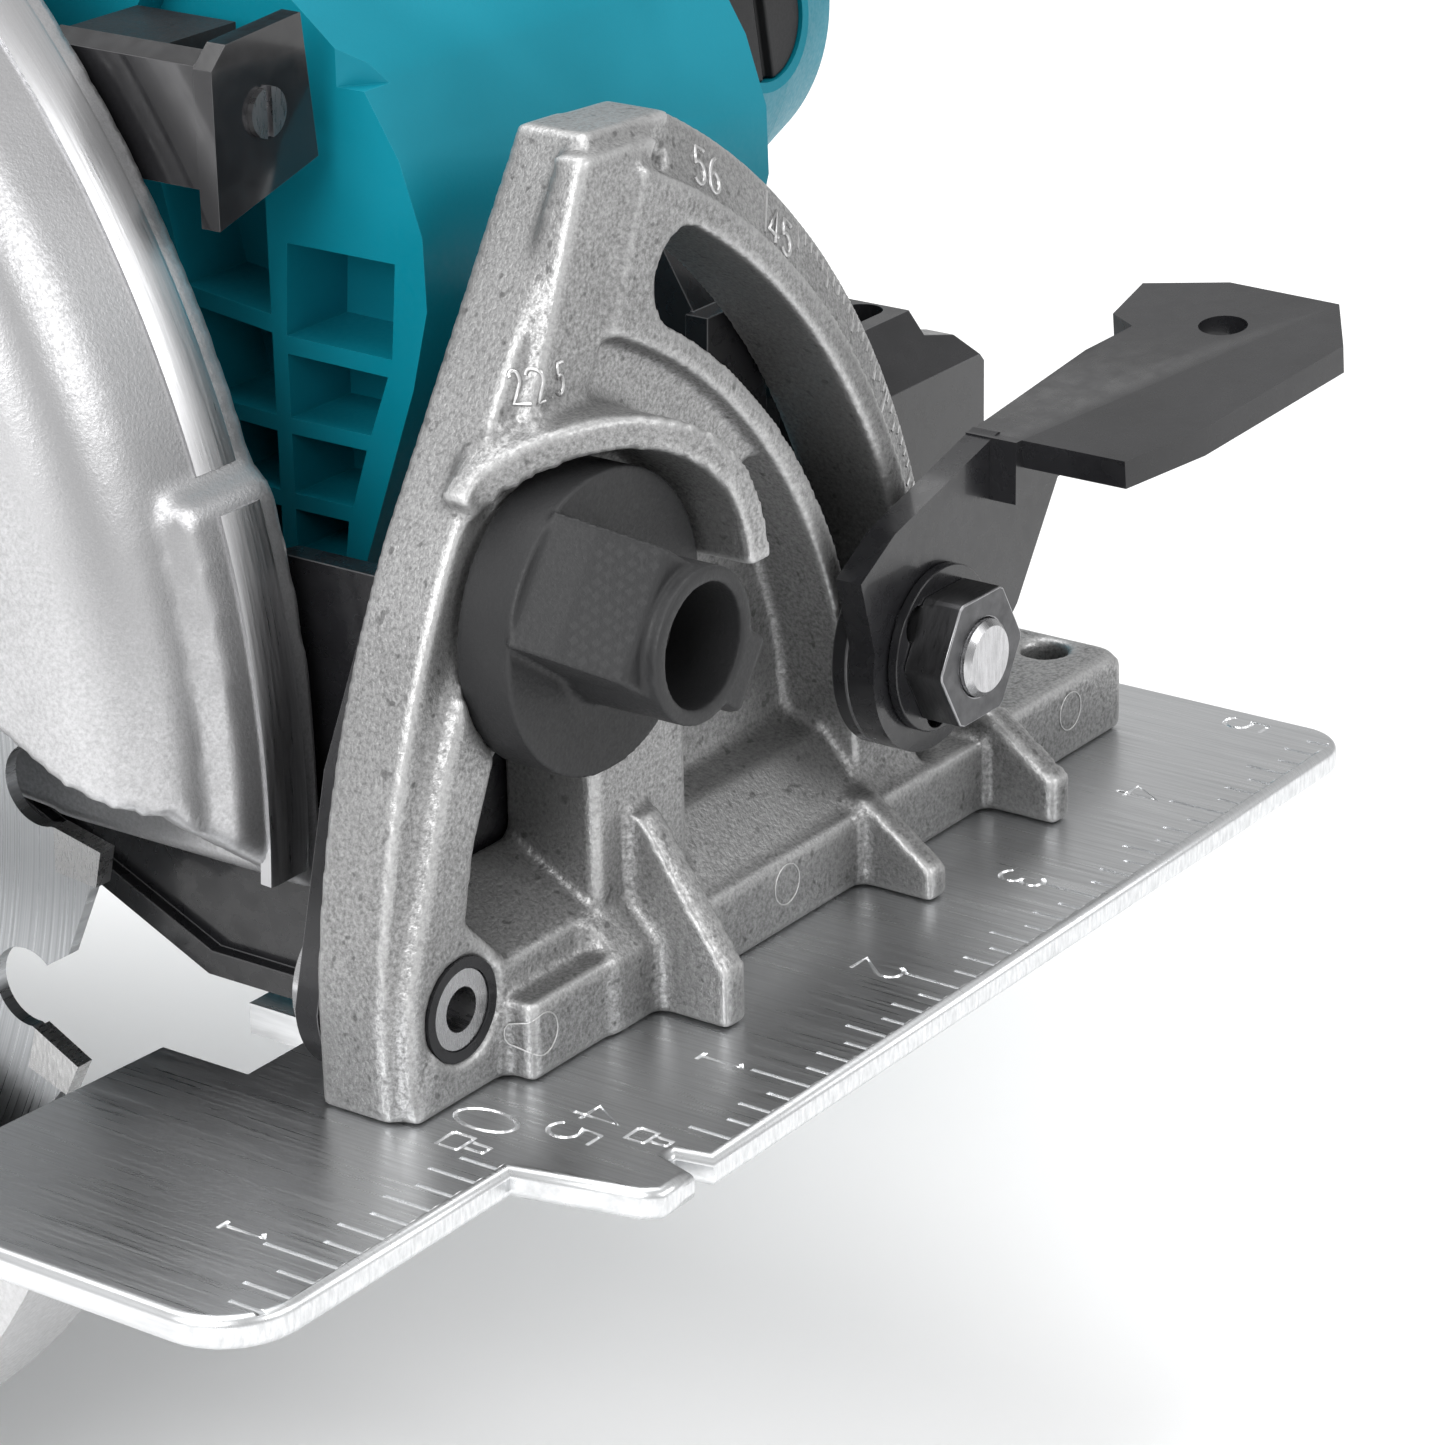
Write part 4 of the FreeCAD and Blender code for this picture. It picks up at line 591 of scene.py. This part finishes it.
# Lighter steel on the nut's rounded edges: partly real wear, partly a painted highlight.
nut_edge_wear_and_highlight = machined("nut_edge_wear_and_highlight", (0.36, 0.36, 0.37), 0.30, (1.0, 6.0, 1.0), 500.0)
crisp("bevel_lever", "bevel_lever_pressing", 0.0007, 3, edge_wear_and_highlight=enamel_edge_highlight)
crisp("lever_washer", "lever_eye_disc", 0.0005, 3, edge_wear_and_highlight=enamel_edge_highlight)
crisp("toothed_retainer", "toothed_keeper", 0.00015)
crisp("bevel_nut", "hexagon_nut", 0.0003, edge_wear_and_highlight=nut_edge_wear_and_highlight)


# ------------------------------------------------------------------ tilting frame
# Pressed steel frame, lug, rear arm, depth guide and rear bracket, all in black enamel, with
# blackened pins and a bright hollow rivet at the front pivot.

lug_enamel = painted("lug_enamel", (0.009, 0.009, 0.010), 0.22, 0.3)
dress(enamel, "tilt_frame", "rear_arm", "depth_guide", "rear_bracket", "pivot_washer")
dress(lug_enamel, "frame_lug")
dress(machined("pin_steel", (0.16, 0.16, 0.165), 0.32, (1.0, 6.0, 1.0), 500.0), "depth_hinge_pin", "rear_pivot_pin")
dress(machined("rivet_steel", (0.62, 0.62, 0.63), 0.26, (6.0, 1.0, 1.0), 400.0), "front_pivot_rivet")
for node, width in (("tilt_frame", 0.0004), ("frame_lug", 0.0008), ("rear_arm", 0.0004), ("depth_guide", 0.0003),
                    ("rear_bracket", 0.0004)):
    crisp(node, node + "_pressing", width, edge_wear_and_highlight=enamel_edge_highlight)


# ------------------------------------------------------------------ upper guard
# Pressure-cast aluminium guard, finely blasted.  The parting line round its rim is ground flat
# across.

silver = sand_blasted("cast_guard", (0.36, 0.36, 0.365), (0.50, 0.50, 0.51), 2600.0, 0.36, (0.72, 0.72, 0.73),
                      0.00007, 0.4, 0.0)
dress(silver, "upper_guard")
softened("upper_guard", "upper_guard_casting", 0.00095, 4)
ground = machined("ground_band", (0.66, 0.66, 0.67), 0.34, (26.0, 1.0, 1.0), 90.0, depth=0.00006).material
spindle = Vector(next(j for j in frame["joints"] if j["name"] == "blade_spin")["pos_m"])
RIM = spindle.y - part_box("upper_guard")[0].y - 0.0016
PROUD = 0.0004


def spun(name, profile, start, stop, steps, material):
    """Sweep a closed outline of (x, radius) about the spindle, from one angle to another."""
    work = bmesh.new()
    rings = []
    for step in range(steps + 1):
        angle = math.radians(start + (stop - start) * step / steps)
        rings.append([work.verts.new((x, spindle.y + r * math.cos(angle), spindle.z + r * math.sin(angle)))
                      for x, r in profile])
    count = len(profile)
    for near, far in zip(rings, rings[1:]):
        for corner in range(count):
            after = (corner + 1) % count
            work.faces.new((near[corner], near[after], far[after], far[corner]))
    work.faces.new(rings[0])
    work.faces.new(list(reversed(rings[-1])))
    bmesh.ops.recalc_face_normals(work, faces=work.faces)
    mesh = bpy.data.meshes.new(name)
    work.to_mesh(mesh)
    work.free()
    mesh.materials.append(material)
    mesh.set_sharp_from_angle(angle=math.radians(35))
    piece = bpy.data.objects.new(name, mesh)
    scene.collection.objects.link(piece)
    return piece


for name, reach, start, stop in (("rim_ground_band", RIM, 16.0, 163.0),
                                 ("rim_ground_band_front", RIM + 0.0016, 165.0, 183.6)):
    band = spun(name, [(0.0020, reach - 0.001), (0.0020, reach + PROUD * 0.6), (0.0025, reach + PROUD),
                       (0.0069, reach + PROUD), (0.0074, reach + PROUD * 0.6), (0.0074, reach - 0.001)],
                start, stop, 150, ground)
    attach(band, "saw_body")


# ------------------------------------------------------------------ lower guard and blade
# Swinging aluminium guard with a black thumb lever, and a steel blade, ground in rings, with
# brazed carbide tips between two flanges.

def ring_ground(name, tone, rough):
    """Steel disc ground as it spins, so that its streaks are rings about the spindle."""
    finish = Finish(name, Metallic=1.0, Roughness=rough)
    spot = finish.node("ShaderNodeTexCoord", output="Object")
    arm = finish.node("ShaderNodeVectorMath", {"operation": "SUBTRACT"}, {0: spot, 1: spindle})
    arm = finish.node("ShaderNodeVectorMath", {"operation": "MULTIPLY"}, {0: arm, 1: (0.0, 1.0, 1.0)})
    reach = finish.node("ShaderNodeVectorMath", {"operation": "LENGTH"}, {0: arm}, 1)
    streak = finish.node("ShaderNodeTexNoise", {"noise_dimensions": "1D"},
                         {"W": reach * 1.0, "Scale": 3200.0, "Detail": 4.0})
    dull = tuple(part * 0.78 for part in tone)
    finish.feed(Base_Color=finish.shade(finish.span(streak, 0.3, 0.7, 0.0, 1.0), dull, tone))
    finish.feed(Roughness=finish.span(streak, 0.3, 0.7, rough + 0.08, rough - 0.06))
    return finish.bump(streak, 0.25, 0.00002)


dress(sand_blasted("lower_guard_silver", (0.38, 0.38, 0.385), (0.52, 0.52, 0.53), 1500.0, 0.35,
                   (0.7, 0.7, 0.7), 0.00008, 0.3, 0.0), "lower_guard")
dress(moulded("black_nylon", (0.010, 0.010, 0.011), 0.45, 1800.0, 0.0001, rub=0.0), "guard_lever")
dress(ring_ground("blade_steel", (0.36, 0.37, 0.38), 0.32), "saw_blade")
dress(machined("carbide", (0.42, 0.42, 0.42), 0.28, (1.0, 4.0, 1.0), 900.0), "carbide_tips")
dress(machined("flange_steel", (0.40, 0.40, 0.41), 0.30, (6.0, 1.0, 1.0), 400.0), "inner_flange", "outer_flange",
      "blade_bolt", "spindle")
crisp("blade_bolt", "blade_screw", 0.0004)


# ------------------------------------------------------------------ motor housing
# Teal glass-filled nylon: barrel, ribbed nose, end cover and the bosses of the two brush caps.
# Cooling slots go right through the barrel's wall, in rows round the motor.

teal = moulded("teal_nylon", (0.0, 0.160, 0.218), 0.42, 1500.0, 0.00005, 0.18, 0.0)
# A lighter teal on the housing's rounded edges: a painted highlight.
teal_edge_highlight = moulded("teal_nylon_edge_highlight", (0.010, 0.205, 0.265), 0.34, 1500.0, 0.00003, rub=0.0)
dress(teal, "motor_housing", "motor_end_cover")
cap_nylon = moulded("cap_nylon", (0.016, 0.016, 0.017), 0.46, 2200.0, 0.00008, rub=0.0)
dress(cap_nylon, "front_brush_cap", "rear_brush_cap")
dress(sand_blasted("gear_case", (0.16, 0.16, 0.165), (0.34, 0.34, 0.35), 1500.0, 0.45, (0.5, 0.5, 0.5),
                   rub=0.0), "gear_housing")
motor = Vector(next(j for j in frame["joints"] if j["name"] == "motor_spin")["pos_m"])
slot_shape = brick((-0.0105, -0.0011, 0.034), (0.0105, 0.0011, 0.048), teal.material)
slots = [row_of("cooling_slots_%d" % number, slot_shape.copy(), 8, (x, motor.y, motor.z),
                turn=(math.radians(9), 0, 0), first=(math.radians(start), 0, 0))
         for number, (x, start) in enumerate(((0.112, -118.0), (0.137, -118.0), (0.137, 150.0)))]
crisp("motor_housing", "motor_housing_moulding", 0.0007, 2, slots, teal_edge_highlight)
ray_shape = brick((0.1988, -0.0012, 0.0075), (0.2020, 0.0012, 0.0190), teal.material)
rays = row_of("end_rays", ray_shape, 12, (0, motor.y, motor.z), turn=(math.radians(30), 0, 0))
crisp("motor_end_cover", "motor_end_moulding", 0.0007, 2, [rays], teal_edge_highlight)
crisp("front_brush_cap", "front_brush_cap_moulding", 0.0005)
crisp("rear_brush_cap", "rear_brush_cap_moulding", 0.0005)
crisp("gear_housing", "gear_case_casting", 0.0005)


# ------------------------------------------------------------------ motor and gears
# Inside: laminated armature and field, copper commutator, brushes in brass tubes, fan, gears
# and ball bearings.

dress(machined("lamination", (0.32, 0.29, 0.26), 0.42, (30.0, 1.0, 1.0), 90.0), "armature_core", "field_stator")
dress(machined("copper", (0.78, 0.42, 0.26), 0.26, (20.0, 1.0, 1.0), 120.0), "commutator")
dress(machined("brass", (0.76, 0.58, 0.28), 0.26, (1.0, 20.0, 1.0), 120.0), "brush_holders")
dress(moulded("carbon", (0.015, 0.015, 0.015), 0.55, 1800.0, 0.0001, rub=0.0), "carbon_brushes")
dress(moulded("fan_nylon", (0.60, 0.59, 0.55), 0.45, 1500.0, 0.00006, rub=0.0), "cooling_fan")
dress(machined("gear_steel", (0.45, 0.45, 0.46), 0.28, (6.0, 1.0, 1.0), 400.0), "drive_gear", "armature_shaft",
      "armature_bearings", "spindle_bearings")


# ------------------------------------------------------------------ handle and grip
# Two teal clamshell halves and a front grip in black rubber, held by steel screws, with a black
# trigger, switch and cord inlet.

rubber = moulded("black_rubber", (0.010, 0.010, 0.010), 0.62, 1200.0, 0.0001, 0.2, 0.0)
black_nylon = moulded("switch_nylon", (0.010, 0.010, 0.011), 0.45, 1800.0, 0.0001, rub=0.0)
dress(teal, "handle_left", "handle_right")
dress(rubber, "front_grip", "cord_inlet")
dress(black_nylon, "trigger", "switch_body")
dress(machined("screw_steel", (0.40, 0.40, 0.41), 0.30, (6.0, 1.0, 1.0), 400.0), "handle_screws", "depth_bolt")
dress(enamel, "depth_lever")
softened("handle_left", "handle_left_moulding", 0.0014, 4)
softened("handle_right", "handle_right_moulding", 0.0014, 4)
softened("front_grip", "front_grip_moulding", 0.0009, 4)
crisp("trigger", "trigger_moulding", 0.0008)
crisp("depth_lever", "depth_lever_pressing", 0.0004)


# ------------------------------------------------------------------ spindle lock
# Black lacquered push plate with a slotted steel pin in an aluminium guide.

lacquer = painted("black_lacquer", (0.008, 0.008, 0.009), 0.16, 0.6)
dress(lacquer, "lock_button")
dress(machined("lock_steel", (0.30, 0.30, 0.31), 0.30, (6.0, 1.0, 1.0), 400.0), "lock_pin")
dress(black_nylon, "lock_guide")
crisp("lock_button", "lock_plate", 0.0006, 3, edge_wear_and_highlight=enamel_edge_highlight)
